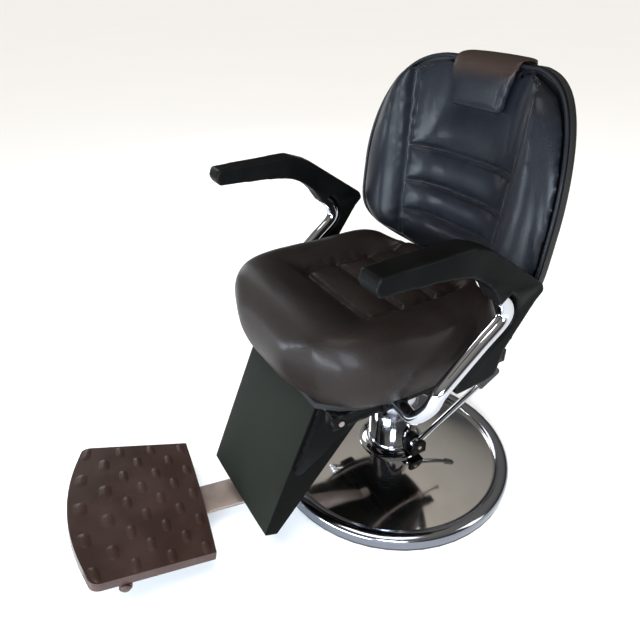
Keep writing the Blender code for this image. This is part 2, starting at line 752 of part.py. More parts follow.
# Recline hinge: brackets and hubs on the rails, arms on the back, rods to the legrest
def lobe(points, radius):
    """A plate outline that wraps round (y, z) points in turn, anticlockwise, with round corners."""
    outline = []
    count = len(points)
    for i, point in enumerate(points):
        into = Vector(point) - Vector(points[i - 1])
        out = Vector(points[(i + 1) % count]) - Vector(point)
        start = math.degrees(math.atan2(into.y, into.x)) - 90
        sweep = (math.degrees(math.atan2(out.y, out.x)) - 90 - start) % 360
        outline += arc(point, radius, start, start + sweep, 4)
    return outline


def make_recline_hinge(frame):
    for side, name in SIDES:
        foot = RAIL_LOW + BRACKET_EYE
        corners = [(RAIL_REAR - BRACKET_FOOT, foot), (RAIL_REAR - BRACKET_EYE, foot), (HINGE_Y, HINGE_Z)]
        outline = lobe(corners, BRACKET_EYE)
        near, far = sorted((side * BRACKET_IN, side * (BRACKET_IN + BRACKET_THICK)))
        bracket = solid("hinge_bracket_" + name, prism(outline, near, far), "black_steel", frame)
        hole = bmesh.new()
        add_rod(hole, (near - OVER, HINGE_Y, HINGE_Z), (far + OVER, HINGE_Y, HINGE_Z), SHAFT_RADIUS + FIT)
        drill(bracket, hole)
        start = BRACKET_IN + BRACKET_THICK + FIT
        bm = bmesh.new()
        add_rod(bm, (side * start, HINGE_Y, HINGE_Z), (side * (start + HUB_DISC_THICK), HINGE_Y, HINGE_Z),
                HUB_DISC_RADIUS, 24)
        hub = solid("recliner_hub_" + name, bm, "black_steel", frame)
        hole = bmesh.new()
        add_rod(hole, (side * (start - OVER), HINGE_Y, HINGE_Z),
                (side * (start + HUB_DISC_THICK + OVER), HINGE_Y, HINGE_Z), SHAFT_RADIUS + FIT)
        drill(hub, hole)
    bm = bmesh.new()
    reach = BRACKET_IN + BRACKET_THICK + HUB_DISC_THICK + SHAFT_PROUD
    add_rod(bm, (-reach, HINGE_Y, HINGE_Z), (reach, HINGE_Y, HINGE_Z), SHAFT_RADIUS)
    solid("recline_shaft", bm, "steel", frame)


def crank_pin(tilt):
    """Where the crank pin lies in the axes of a frame turned by a tilt."""
    return (CRANK_Y * math.cos(tilt) - CRANK_Z * math.sin(tilt),
            CRANK_Y * math.sin(tilt) + CRANK_Z * math.cos(tilt))


def make_back_arms(frame):
    pin_y, pin_z = crank_pin(BACK_TILT)
    shell_y = -BACK_SET - shell_ahead(PLATE_IN) + SHELL_THICK + FIT
    foot = BACK_RISE + BACK_BOTTOM - SHELL_RIM
    top = foot + ARM_REACH
    outline = arc((pin_y, pin_z), ARM_EYE, -130, 60, 8)
    outline += [(shell_y + ARM_BLADE, foot), (shell_y + ARM_BLADE, top - ARM_BLADE), (shell_y, top),
                (shell_y, foot)]
    outline += arc((0, 0), ARM_EYE, 160, 240, 5)
    for side, name in SIDES:
        near, far = sorted((side * PLATE_IN, side * PLATE_OUT))
        arm = solid("back_arm_" + name, prism(outline, near, far), "black_steel", frame)
        holes = bmesh.new()
        add_rod(holes, (near - OVER, 0, 0), (far + OVER, 0, 0), SHAFT_RADIUS + RUN)
        drill(arm, holes)
        weld_crank_pin(arm, side, pin_y, pin_z)


def weld_crank_pin(plate, side, pin_y, pin_z):
    """A pin stands out of a crank plate and passes through the eye of the link bar."""
    bm = bmesh.new()
    add_rod(bm, (side * (PLATE_IN + PLATE_THICK / 2), pin_y, pin_z),
            (side * (LINK_IN + LINK_THICK + PIN_PROUD), pin_y, pin_z), PIN_RADIUS)
    combine(plate, bm, "UNION")


# Link bars: modelled from the back's crank pin, forward to the legrest's
def make_links(frame):
    front = (LEG_Y - HINGE_Y, LEG_Z - HINGE_Z)
    for side, name in SIDES:
        near, far = sorted((side * LINK_IN, side * (LINK_IN + LINK_THICK)))
        bar = solid("link_bar_" + name, prism(lobe([(0, 0), front], LINK_HALF), near, far), "steel", frame)
        holes = bmesh.new()
        for y, z in ((0, 0), front):
            add_rod(holes, (near - OVER, y, z), (far + OVER, y, z), PIN_RADIUS + RUN)
        drill(bar, holes)


# Legrest: a wedge that hangs from a rod, with its crank plates on its sides
def make_legrest(frame):
    def front(x, z):
        along = (z + LEG_LENGTH / 2) / (LEG_LENGTH / 2 + LEG_TOP)
        over = max(0.0, 1 - (LEG_TOP - z) / LEG_ROUND)
        turned_back = LEG_ROUND * (1 - math.sqrt(1 - over ** 2))
        crown = LEG_CROWN * (1 - (x / LEG_HALF) ** 4) * (1 - along ** 4)
        return (x, turned_back - LEG_FRONT - crown, z)

    def rear(x, z):
        share = (LEG_TOP - z) / (LEG_TOP + LEG_LENGTH)
        return (x, LEG_DEPTH_TOP + (LEG_DEPTH_BOTTOM - LEG_DEPTH_TOP) * share, z - LEG_SLANT * (1 - share))

    columns = stations(-LEG_HALF, LEG_HALF, 8)
    rows = stations(-LEG_LENGTH, LEG_TOP - LEG_ROUND, 7)
    rows += [LEG_TOP - LEG_ROUND * (1 - math.sin(math.radians(angle))) for angle in (30, 60, 90)]
    bm = pad(columns, rows, front, rear, 0, flat_rear=True)
    panel = solid("legrest_panel", bm, "vinyl", frame, sharp=40)
    hole = bmesh.new()
    add_rod(hole, (-LEG_HALF - OVER, 0, 0), (LEG_HALF + OVER, 0, 0), LEG_BORE)
    drill(panel, hole)
    pin_y, pin_z = crank_pin(LEG_TILT)
    outline = lobe([(0, -LEG_PLATE_REACH), (pin_y, pin_z), (0, 0)], LEG_PLATE_EYE)
    for side, name in SIDES:
        near, far = sorted((side * PLATE_IN, side * PLATE_OUT))
        plate = solid("legrest_plate_" + name, prism(outline, near, far), "black_steel", frame)
        holes = bmesh.new()
        add_rod(holes, (near - OVER, 0, 0), (far + OVER, 0, 0), LEG_ROD_RADIUS + RUN)
        drill(plate, holes)
        weld_crank_pin(plate, side, pin_y, pin_z)


# Armrests: a bent chrome tube from the rail, with a moulded wing behind it and a pad along the top
def make_armrests(frame):
    rise = smooth_path(TUBE_POINTS, 4)
    behind = offset_path(rise, TUBE_RADIUS + FIT)
    run = (rise[-1] - rise[-2]).normalized()
    aside = Vector((run.y, -run.x)) * (TUBE_RADIUS + FIT)
    socket = [rise[-1] + run * FIT + aside, rise[-1] + run * FIT - aside]
    hollow = smooth_path([socket[1]] + [Vector(point) for point in ARM_HOLLOW], 3)
    outline = [Vector(point) for point in ARM_OUTER] + behind[ARM_TUBE_FROM:] + [socket[0]] + hollow
    plate_x = RAIL_OUT + FIT
    length, thick, height = ARM_BRACKET
    middle = RAIL_LOW + RAIL_HEIGHT / 2
    for side, name in SIDES:
        bm = prism([(point.x, point.y) for point in outline], ARM_X - WING_HALF, ARM_X + WING_HALF)
        edges = [edge for edge in bm.edges if abs(edge.verts[0].co.x - edge.verts[1].co.x) < WING_HALF]
        round_edges(bm, edges, ARM_ROUND)
        for vert in bm.verts:
            swell = ease(vert.co.z, ARM_SWELL_LOW, ARM_SWELL_HIGH)
            swell *= ease(vert.co.y, ARM_SWELL_REAR, ARM_SWELL_FRONT)
            wide = 1 + (PAD_HALF / WING_HALF - 1) * swell
            vert.co.x = side * (ARM_X + (vert.co.x - ARM_X) * wide)
        solid("armrest_" + name, bm, "moulding", frame, sharp=50)

        foot_y, foot_z = TUBE_POINTS[0]
        start = plate_x + thick + FIT
        corners = [(start + TUBE_RADIUS, TUBE_FOOT_Y, middle), (ARM_X - TUBE_BEND, TUBE_FOOT_Y, middle),
                   (ARM_X - TUBE_BEND / 5, (TUBE_FOOT_Y + foot_y) / 2, (middle + foot_z) / 2),
                   (ARM_X, foot_y, foot_z)]
        path = [Vector((start, TUBE_FOOT_Y, middle))] + smooth_path(corners, 4)[:-1]
        path += [Vector((ARM_X, point.x, point.y)) for point in rise]
        path = [(side * point.x, point.y, point.z) for point in path]
        tube("arm_tube_" + name, path, TUBE_RADIUS, "chrome", frame)

        bm = bmesh.new()
        near, far = sorted((side * plate_x, side * (plate_x + thick)))
        add_box(bm, (near, TUBE_FOOT_Y - length / 2, middle - height / 2),
                (far, TUBE_FOOT_Y + length / 2, middle + height / 2))
        solid("arm_bracket_" + name, bm, "black_steel", frame)


# Headrest: a pad that hooks over the top of the back, on a flat post in a guide behind the shell
def make_headrest(frame):
    inner = PANEL_AHEAD - PANEL_DRAW + HEAD_AHEAD
    outer = inner + HEAD_THICK
    under = BACK_TOP + SHELL_RIM + HEAD_GAP
    over = under + HEAD_CAP
    back = -SHELL_DEPTH - SHELL_THICK - HEAD_GAP
    tail = back - HEAD_CAP
    hang = under - HEAD_HANG
    soft = HEAD_SOFT
    profile = [(inner, HEAD_BOTTOM), (outer - soft, HEAD_BOTTOM), (outer, HEAD_BOTTOM + soft),
               (outer, over - 5 * soft), (outer - 2 * soft, over - 2 * soft), (inner - soft, over - soft / 2),
               (back, over), (tail, over - soft), (tail, hang), (back, hang), (back, under),
               (inner - soft, under), (inner, under - 3 * soft)]
    bm = bmesh.new()
    rings = []
    for share in (-1, -0.95, -0.6, 0, 0.6, 0.95, 1):
        ring = []
        for ahead, up in profile:
            rise = (up - HEAD_BOTTOM) / (over - HEAD_BOTTOM)
            half = HEAD_HALF_LOW + (HEAD_HALF_HIGH - HEAD_HALF_LOW) * rise
            drawn = HEAD_SOFT * (abs(share) == 1 and ahead in (outer, tail))
            ring.append(bm.verts.new(back_point(share * half, up, ahead - math.copysign(drawn, ahead))))
        rings.append(ring)
    for ring, following in zip(rings, rings[1:]):
        for i in range(len(ring)):
            bm.faces.new((ring[i - 1], ring[i], following[i], following[i - 1]))
    bm.faces.new(rings[0])
    bm.faces.new(rings[-1][::-1])
    solid("headrest_pad", bm, "leather", frame, sharp=50)
    front = post_ahead()
    bm = bmesh.new()
    add_box(bm, back_point(-POST_WIDTH / 2, hang - FIT - POST_LENGTH, front),
            back_point(POST_WIDTH / 2, hang - FIT, front - POST_THICK))
    solid("headrest_post", bm, "chrome", frame)


def post_ahead():
    """The post's front face lies behind the shell, in the middle of the headrest's tail."""
    return -SHELL_DEPTH - SHELL_THICK - HEAD_GAP - (HEAD_CAP - POST_THICK) / 2


def make_headrest_guide(frame):
    shell = -SHELL_DEPTH - SHELL_THICK - FIT
    front = post_ahead()
    half = POST_WIDTH / 2 + RUN
    bm = bmesh.new()
    add_box(bm, back_point(-half - GUIDE_WALL, GUIDE_TOP - GUIDE_LENGTH, shell),
            back_point(half + GUIDE_WALL, GUIDE_TOP, front - POST_THICK - RUN - GUIDE_WALL))
    guide = solid("headrest_guide", bm, "black_steel", frame)
    slot = bmesh.new()
    add_box(slot, back_point(-half, GUIDE_TOP - GUIDE_LENGTH - OVER, front + RUN),
            back_point(half, GUIDE_TOP + OVER, front - POST_THICK - RUN))
    drill(guide, slot)


# Release lever of the recliner, on the sitter's right: modelled back along +Y from the shaft
def make_recline_lever(frame):
    start = -(BRACKET_IN + BRACKET_THICK + FIT + HUB_DISC_THICK + 2 * RUN)
    lever = solid("recline_lever", prism(lobe([(0, 0), (RECLINE_LEVER_LENGTH, 0)], RECLINE_LEVER_EYE),
                                         start - PLATE_THICK, start), "chrome", frame)
    hole = bmesh.new()
    add_rod(hole, (start - PLATE_THICK - OVER, 0, 0), (start + OVER, 0, 0), SHAFT_RADIUS + FIT)
    drill(lever, hole)
    bm = bmesh.new()
    near = RECLINE_LEVER_LENGTH + RECLINE_LEVER_EYE + FIT
    middle = start - PLATE_THICK / 2
    add_rod(bm, (middle, near, 0), (middle, near + GRIP_LENGTH, 0), GRIP_RADIUS, 12)
    round_edges(bm, sharp_edges(bm), GRIP_RADIUS / 3)
    solid("recline_grip", bm, "moulding", frame)


# Footrest: pivot bolt, bent flat bar, cross rod, and the plate that tips on the rod
def make_footrest_pivot(frame):
    low = RAIL_LOW - FIT - BAR_THICK - 2 * FIT - BOLT_HEAD_HEIGHT
    neck = low + BOLT_HEAD_HEIGHT
    top = RAIL_LOW - FIT
    bm = turned([(0, low), (PIVOT_HEAD, low), (PIVOT_HEAD, neck), (PIVOT_RADIUS, neck), (PIVOT_RADIUS, top),
                 (0, top)], 16)
    bmesh.ops.translate(bm, verts=bm.verts[:], vec=(0, SWING_Y, 0))
    solid("footrest_pivot", bm, "steel", frame)


def strip(path, thick):
    """Outline of a bent flat bar along a path of (y, z) points."""
    path = [Vector(point) for point in path]
    sides = ([], [])
    for i, point in enumerate(path):
        into = (point - path[i - 1]).normalized() if i else (path[1] - point).normalized()
        out = (path[i + 1] - point).normalized() if i < len(path) - 1 else into
        mean = (into + out).normalized()
        reach = thick / 2 / mean.dot(into)
        for side, sign in zip(sides, (1, -1)):
            side.append(point + sign * reach * Vector((-mean.y, mean.x)))
    return [(point.x, point.y) for point in sides[0] + sides[1][::-1]]


def make_footrest(frame):
    top = RAIL_LOW - FIT - BAR_THICK / 2 - FIT
    slope = math.tan(PLATE_TILT)
    sleeve = ROD_RADIUS + FIT + SLEEVE_WALL
    run_in = PLATE_REAR
    path = [(BAR_FLANGE, top), (-BAR_BEND, top), (BAR_LOW_Y - SWING_Y, BAR_LOW_Z),
            (ROD_Y - SWING_Y + run_in, ROD_Z - run_in * slope),
            (ROD_Y - SWING_Y + sleeve + FIT, ROD_Z - (sleeve + FIT) * slope)]
    bm = prism(strip(path, BAR_THICK), -BAR_WIDTH / 2, BAR_WIDTH / 2)
    for vert in bm.verts:
        if vert.co.z > top - BAR_THICK:
            vert.co.x = math.copysign(BAR_NECK / 2, vert.co.x)
    tongue = [edge for edge in bm.edges if min(vert.co.y for vert in edge.verts) > BAR_FLANGE / 2
              and edge.verts[0].co.x * edge.verts[1].co.x > 0]
    round_edges(bm, tongue, BAR_CORNER, 4)
    bar = solid("footrest_bar", bm, "steel", frame)
    hole = bmesh.new()
    add_rod(hole, (0, 0, top - OVER), (0, 0, top + OVER), PIVOT_RADIUS + RUN)
    drill(bar, hole)

    rod_y = ROD_Y - SWING_Y
    bm = bmesh.new()
    add_rod(bm, (-BAR_WIDTH / 2, rod_y, ROD_Z), (BAR_WIDTH / 2, rod_y, ROD_Z), sleeve, 24)
    tube_piece = solid("footrest_sleeve", bm, "steel", frame)
    hole = bmesh.new()
    add_rod(hole, (-BAR_WIDTH, rod_y, ROD_Z), (BAR_WIDTH, rod_y, ROD_Z), ROD_RADIUS + FIT)
    drill(tube_piece, hole)
    reach = LUG_X + LUG_WIDTH / 2 + RUN
    bm = bmesh.new()
    add_rod(bm, (-reach, rod_y, ROD_Z), (reach, rod_y, ROD_Z), ROD_RADIUS)
    solid("footrest_rod", bm, "steel", frame)
    for side, name in SIDES:
        bm = bmesh.new()
        add_rod(bm, (side * (reach + FIT), rod_y, ROD_Z), (side * (reach + FIT + CAP_LENGTH), rod_y, ROD_Z),
                CAP_RADIUS, 24)
        round_edges(bm, sharp_edges(bm), CAP_LENGTH / 4)
        solid("rod_cap_" + name, bm, "tread", frame)

    # The buffer stands on the bar where the plate comes to rest on it
    bm = bmesh.new()
    add_box(bm, (-BUFFER / 2, BUFFER_Y - BUFFER / 2, BAR_THICK / 2 + FIT),
            (BUFFER / 2, BUFFER_Y + BUFFER / 2, PLATE_DROP - FIT))
    place = Matrix.Translation((0, rod_y, ROD_Z)) @ Matrix.Rotation(-PLATE_TILT, 4, "X")
    bmesh.ops.transform(bm, matrix=place, verts=bm.verts[:])
    solid("footplate_buffer", bm, "rubber", frame)


def plate_half(y):
    share = (y + PLATE_FRONT) / (PLATE_REAR + PLATE_FRONT)
    corner = PLATE_CORNER * ease(-y, PLATE_FRONT - PLATE_CORNER_RUN, PLATE_FRONT)
    return PLATE_HALF_FRONT + (PLATE_HALF_REAR - PLATE_HALF_FRONT) * share - corner


def make_footplate(frame):
    def plate_point(share, y, z):
        ahead = -y * PLATE_BOW / PLATE_FRONT if y < 0 else -y * PLATE_REAR_BOW / PLATE_REAR
        return (share * plate_half(y), y - ahead * (1 - share ** 2), z)

    def level(z):
        return lambda share, y: plate_point(share, y, z)

    columns = stations(-1, 1, STUD_COLUMNS)
    pitch = (PLATE_REAR + PLATE_FRONT) / STUD_ROWS
    bands = [-PLATE_FRONT + pitch * (i + 0.5) for i in range(STUD_ROWS)]
    edges = [middle + step for middle in bands for step in (-STUD_DEPTH / 2, STUD_DEPTH / 2)]
    rows = [-PLATE_FRONT] + edges + [PLATE_REAR]
    tray_top = PLATE_DROP + TRAY_THICK
    bm = pad(stations(-1, 1, 6), rows[:3] + [0, rows[-1]], level(tray_top), level(PLATE_DROP), TRAY_BULGE)
    tray = solid("footplate_tray", bm, "tread", frame, sharp=40)
    trough = bmesh.new()
    reach = BAR_WIDTH / 2 + 2 * RUN
    add_rod(trough, (-reach, 0, 0), (reach, 0, 0), ROD_RADIUS + SLEEVE_WALL + 2 * RUN, 24)
    drill(tray, trough)

    # Studs stand on every other field of the tread's bands, staggered from band to band
    fields = []
    for band in range(STUD_ROWS):
        for column in range(band % 2, STUD_COLUMNS, 2):
            corners = [plate_point(share, y, 0) for share in columns[column:column + 2]
                       for y in rows[2 * band + 1:2 * band + 3]]
            fields.append(sum((Vector(corner) for corner in corners), Vector()) / len(corners))

    def is_stud(place):
        return any((place - field).xy.length < STUD_LIP for field in fields)

    low = tray_top + FIT
    bm = pad(columns, rows, level(low + TREAD_THICK), level(low), 0, flat_rear=True)
    tops = [face for face in bm.faces if face.calc_center_median().z > low + TREAD_THICK - FIT]
    studs = [face for face in tops if is_stud(face.calc_center_median())]
    bmesh.ops.inset_individual(bm, faces=studs, thickness=STUD_LIP)
    bmesh.ops.inset_individual(bm, faces=studs, thickness=STUD_LIP, depth=STUD_RISE)
    solid("foot_tread", bm, "tread", frame, sharp=30)

    outline = arc((0, 0), LUG_RADIUS, 180, 360, 10)
    outline += [(LUG_RADIUS, PLATE_DROP - FIT), (-LUG_RADIUS, PLATE_DROP - FIT)]
    for side, name in SIDES:
        near = side * LUG_X - LUG_WIDTH / 2
        lug = solid("footplate_lug_" + name, prism(outline, near, near + LUG_WIDTH), "tread", frame)
        hole = bmesh.new()
        add_rod(hole, (near - OVER, 0, 0), (near + LUG_WIDTH + OVER, 0, 0), ROD_RADIUS + RUN)
        drill(lug, hole)


def main():
    empty_scene()
    MATERIALS.update(make_finishes())
    swivel = joint_frame("swivel_axis")
    lift = joint_frame("lift_axis", swivel)
    lever = joint_frame("foot_lever_axis", swivel, (LEVER_X, LEVER_Y, LEVER_Z), (LEVER_ANGLE, 0, 0))
    back = joint_frame("back_axis", lift, (0, HINGE_Y, HINGE_Z), (-BACK_TILT, 0, 0))
    head = joint_frame("headrest_axis", back)
    links = joint_frame("link_axis", lift, (0, HINGE_Y + CRANK_Y, HINGE_Z + CRANK_Z))
    legrest = joint_frame("legrest_axis", lift, (0, LEG_Y, LEG_Z), (-LEG_TILT, 0, 0))
    release = joint_frame("recline_lever_axis", lift, (0, HINGE_Y, HINGE_Z), (-RECLINE_LEVER_DROP, 0, 0))
    swing = joint_frame("footrest_axis", lift, (0, SWING_Y, 0), (0, 0, FOOT_YAW))
    tip = joint_frame("footplate_axis", swing, (0, ROD_Y - SWING_Y, ROD_Z), (-PLATE_TILT, 0, 0))
    make_base()
    make_pump(swivel)
    make_foot_lever(lever)
    make_seat_frame(lift)
    make_seat_cushion(lift)
    make_recline_hinge(lift)
    make_armrests(lift)
    make_footrest_pivot(lift)
    make_back(back)
    make_back_arms(back)
    make_headrest_guide(back)
    make_headrest(head)
    make_links(links)
    make_legrest(legrest)
    make_recline_lever(release)
    make_footrest(swing)
    make_footplate(tip)


if __name__ == "__main__":
    main()
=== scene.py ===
"""Looks of a barber chair: stuffed leather, moulded arms, chrome and a studded footplate.

Everything is in metres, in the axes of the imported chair: it faces -Y, and +X is the sitter's left.
"""
import json
import math

import bmesh
import bpy
import numpy as np
from mathutils import Matrix, Vector, noise
from mathutils.bvhtree import BVHTree

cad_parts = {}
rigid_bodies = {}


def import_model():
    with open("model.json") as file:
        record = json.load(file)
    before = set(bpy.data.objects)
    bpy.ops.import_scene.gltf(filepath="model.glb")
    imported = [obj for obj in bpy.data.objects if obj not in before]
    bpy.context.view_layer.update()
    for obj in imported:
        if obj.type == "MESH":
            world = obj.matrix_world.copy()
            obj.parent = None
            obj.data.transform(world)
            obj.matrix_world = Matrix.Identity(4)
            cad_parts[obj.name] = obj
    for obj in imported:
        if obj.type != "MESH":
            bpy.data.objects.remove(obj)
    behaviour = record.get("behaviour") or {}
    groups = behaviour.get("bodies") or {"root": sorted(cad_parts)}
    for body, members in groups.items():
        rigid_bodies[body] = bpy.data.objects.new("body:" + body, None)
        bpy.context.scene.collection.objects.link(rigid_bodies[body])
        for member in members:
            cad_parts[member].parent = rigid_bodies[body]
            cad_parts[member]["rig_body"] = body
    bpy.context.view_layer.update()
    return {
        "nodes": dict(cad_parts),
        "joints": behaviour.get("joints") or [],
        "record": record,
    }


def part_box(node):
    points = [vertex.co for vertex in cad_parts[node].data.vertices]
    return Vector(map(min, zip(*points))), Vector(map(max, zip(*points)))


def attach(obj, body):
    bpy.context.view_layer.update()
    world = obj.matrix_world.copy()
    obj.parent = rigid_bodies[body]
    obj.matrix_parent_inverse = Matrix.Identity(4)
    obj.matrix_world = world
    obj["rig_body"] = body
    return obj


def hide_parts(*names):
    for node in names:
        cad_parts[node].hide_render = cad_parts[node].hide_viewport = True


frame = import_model()
NODES = frame["nodes"]
JOINTS = {joint["name"]: joint for joint in frame["joints"]}
SIDES = ((1, "left"), (-1, "right"))

# How the moving pieces stand at rest
BACK_TILT = math.radians(5.8)
LEVER_ANGLE = math.radians(29)
FOOT_YAW = math.radians(-9.2)
PLATE_TILT = math.radians(11)

# Camera that took the picture
EYE = (0.864, -0.733, 1.098)
LOOK_TURN = math.radians(59.122)
LOOK_DOWN = math.radians(31.314)
SENSOR = 36.0
FOCAL_SHARE = 572.6 / 640

# Base and pump
DOME_HEIGHT = 0.060
GUTTER_HEIGHT = 0.023
RIM_WIDTH = 0.036
RIM_HEIGHT = 0.036
SHELL_WALL = 0.003
RUNNING_GAP = 0.0006
RAM_REST = 0.003
TOP_ROUND = 0.004
FLANGE_LIP = 0.004
FLANGE_EDGE = 0.35
LEVER_START = 0.0153
LEVER_END = 0.2147
LEVER_RADIUS = 0.008
PEDAL_START = 0.215
PEDAL_LENGTH = 0.070
PEDAL_RADIUS = 0.0128
PEDAL_RINGS = 11
FINE_SIDES = 128

# Seams of the seat, in plan
SEAT_SEAM_X = 0.122
SEAT_SEAM_Y = -0.185
SEAT_SEAM_CORNER = 0.030
SEAT_SEAM_REAR = 0.075
SEAT_SEAM_NARROWING = 0.010
SEAT_CHANNELS = (-0.100, -0.015)
CHANNEL_INSET = 0.004

# How far the seat's rear edge is filled, and the stretches over which the fill comes in
SEAT_REAR_FILL = np.array((0, 0.016, 0.034))
SEAT_REAR_ACROSS = (0.09, 0.17)
SEAT_REAR_ALONG = (0.045, 0.090)
SEAT_REAR_UP = (0.44, 0.50)

# Datum and seams of the back: height up the back and depth ahead of its datum plane
BACK_SET = 0.0251
BACK_RISE = 0.0784
BACK_HALF = 0.274
BACK_WIDEST = 0.190
BACK_LOWER = 0.176
BACK_UPPER = 0.245
BACK_BOTTOM = 0.020
BACK_TOP = 0.432
BACK_WRAP = 0.071
SHELL_DEPTH = 0.0315
SHELL_THICK = 0.016
SHELL_RIM = 0.006
SHELL_EDGE = 0.005
SHELL_GRID = (96, 110)
GROOVE_INSET = 0.032
GROOVE_WIDTH = 0.0055
GROOVE_DEPTH = 0.0028
BACK_SEAM_FOOT = 0.136
BACK_SEAM_FLARE = 0.066
BACK_SEAM_ENDS = (0.012, 0.008)
BACK_SEAM_STEPS = 16
BACK_CHANNELS = (0.100, 0.168, 0.245)
BACK_BOTTOM_FILL = 0.012
BACK_BOTTOM_ACROSS = (0.10, 0.16)
BACK_BOTTOM_UP = 0.06
WELT_RADIUS = 0.0034
WELT_SPREAD = 0.0015
WELT_AHEAD = 0.0045
WELT_STEPS = 60

# Lower and upper ends of the headrest's side seams, on the back's plan
HEADREST_SEAM_LOW = (0.060, 0.352)
HEADREST_SEAM_HIGH = (0.072, 0.418)
# Heights between which the headrest's top is painted brown, a painted reflection of warm light
HEADREST_REFLECTION_HEIGHTS = (0.915, 0.945)

# Seams and stitches
SEAM_WIDTH = 0.0055
PUCKER_WIDTH = 0.016
PUCKER_SCALE = 55
STITCH_HALF = (0.0023, 0.0006, 0.0007)
STITCH_ASIDE = 0.0045
STITCH_GAP = 0.0068

# Frames for which a cover is blown up, and rounds of smoothing after that
COVER_FRAMES = 20
EASE_ROUNDS = 14

# How near a neighbour has to be for a cover to stay back from it
BESIDE_REACH = 0.030

# Arm tubes
ARM_X = 0.287
TUBE_RADIUS = 0.0145
TUBE_FOOT_Y = -0.165
TUBE_FOOT_GAP = 0.0003
TUBE_BEND = 0.034
TUBE_POINTS = ((-0.143, 0.459), (-0.059, 0.533), (-0.012, 0.574), (-0.013, 0.604), (-0.036, 0.630))

# Footplate
PLATE_REAR = 0.178
PLATE_FRONT = 0.067
PLATE_HALF_REAR = 0.171
PLATE_HALF_FRONT = 0.193
PLATE_BOW = 0.033
PLATE_REAR_BOW = 0.003
PLATE_CORNER = 0.024
PLATE_DROP = 0.0075
TRAY_THICK = 0.016
TROUGH_RADIUS = 0.0121
TROUGH_HALF = 0.047
TREAD_THICK = 0.005
TREAD_GAP = 0.0003
TREAD_EDGE = 0.0015
TRAY_EDGE = 0.004
TREAD_GRID = (216, 140)
TRAY_GRID = (64, 120)
STUD_RISE = 0.0022
STUD_COLUMNS = 9
STUD_BANDS = 7
STUD_HALF_Y = 0.0088
STUD_SHARE = 0.88

# Plates, bars and rods that keep their CAD shape, and how far their edges are rounded
ROUNDED_EDGES = {
    "footrest_bar": 0.0012, "footrest_sleeve": 0.0010, "rod_cap_left": 0.0008, "rod_cap_right": 0.0008,
    "lever_fork": 0.0012, "lever_eye": 0.0012, "saddle_plate": 0.0010, "seat_rail_left": 0.0025,
    "seat_rail_right": 0.0025, "cross_tube_front": 0.0025, "cross_tube_rear": 0.0025,
    "cross_tube_footrest": 0.0025, "recliner_hub_left": 0.0015, "recliner_hub_right": 0.0015,
    "hinge_bracket_left": 0.0008, "hinge_bracket_right": 0.0008, "back_arm_left": 0.0007,
    "back_arm_right": 0.0007, "link_bar_left": 0.0010, "link_bar_right": 0.0010,
    "legrest_plate_left": 0.0007, "legrest_plate_right": 0.0007, "arm_bracket_left": 0.0010,
    "arm_bracket_right": 0.0010, "headrest_guide": 0.0010, "headrest_post": 0.0010,
    "recline_lever": 0.0010, "seat_board": 0.0030,
}

# Screw heads: places on the side plates are (y, z)
SCREW_RADIUS = 0.0042
HEAD_GAP = 0.0002
ARM_BRACKET_SCREWS = ((-0.188, 0.389), (-0.142, 0.389))
BACK_ARM_SCREWS = ((0.160, 0.600), (0.167, 0.655))
GUIDE_SCREW_RADIUS = 0.0032
GUIDE_SCREW_X = 0.019
GUIDE_SCREW_SHARES = (0.15, 0.85)
FLANGE_SCREW_RING = 0.0725
FLANGE_SCREWS = 6
FLANGE_SCREW_START = 30
FAR_OUT = 0.5

# Studio
FLOOR_HALF = 80
DAYLIGHT = (0.78, 0.89, 1.0)
AREA_LAMPS = (
    ("window", (1.1, -3.0, 0.28), (0, 0, 0.60), 250, DAYLIGHT, (2.4, 0.5)),
    ("doorway", (-1.7, -2.8, 0.40), (0, 0, 0.60), 70, DAYLIGHT, (0.8, 0.6)),
    ("street", (2.6, -1.7, 1.25), (0, 0, 0.50), 150, DAYLIGHT, (1.1, 0.7)),
    ("left", (-3.0, -0.4, 1.5), (0, 0, 0.6), 45, (0.93, 0.96, 1.0), (1.0, 2.2)),
    ("right", (2.4, 1.8, 1.6), (0, 0, 0.5), 30, (1.0, 0.97, 0.93), (0.8, 2.0)),
)
ROOM_LOW = (0.10, 0.10, 0.105, 1)
ROOM_HIGH = (0.55, 0.51, 0.45, 1)
ROOM_BETWEEN = (
    (0.28, (0.08, 0.08, 0.085, 1)),
    (0.45, (0.26, 0.245, 0.225, 1)),
    (0.60, (0.36, 0.34, 0.31, 1)),
)
BACKDROP = (0.91, 0.895, 0.865, 1)


# Finishes
class Value:
    """A socket among a finish's nodes, with Python's operators for its maths."""

    def __init__(self, finish, socket):
        self.finish = finish
        self.socket = socket

    def maths(self, operation, first, second=0.0):
        return self.finish.node("ShaderNodeMath", {0: first, 1: second}, operation=operation)

    def __add__(self, other):
        return self.maths("ADD", self, other)

    def __radd__(self, other):
        return self.maths("ADD", other, self)

    def __sub__(self, other):
        return self.maths("SUBTRACT", self, other)

    def __rsub__(self, other):
        return self.maths("SUBTRACT", other, self)

    def __mul__(self, other):
        return self.maths("MULTIPLY", self, other)

    def __rmul__(self, other):
        return self.maths("MULTIPLY", other, self)

    def __pow__(self, other):
        return self.maths("POWER", self, other)

    def __abs__(self):
        return self.maths("ABSOLUTE", self)


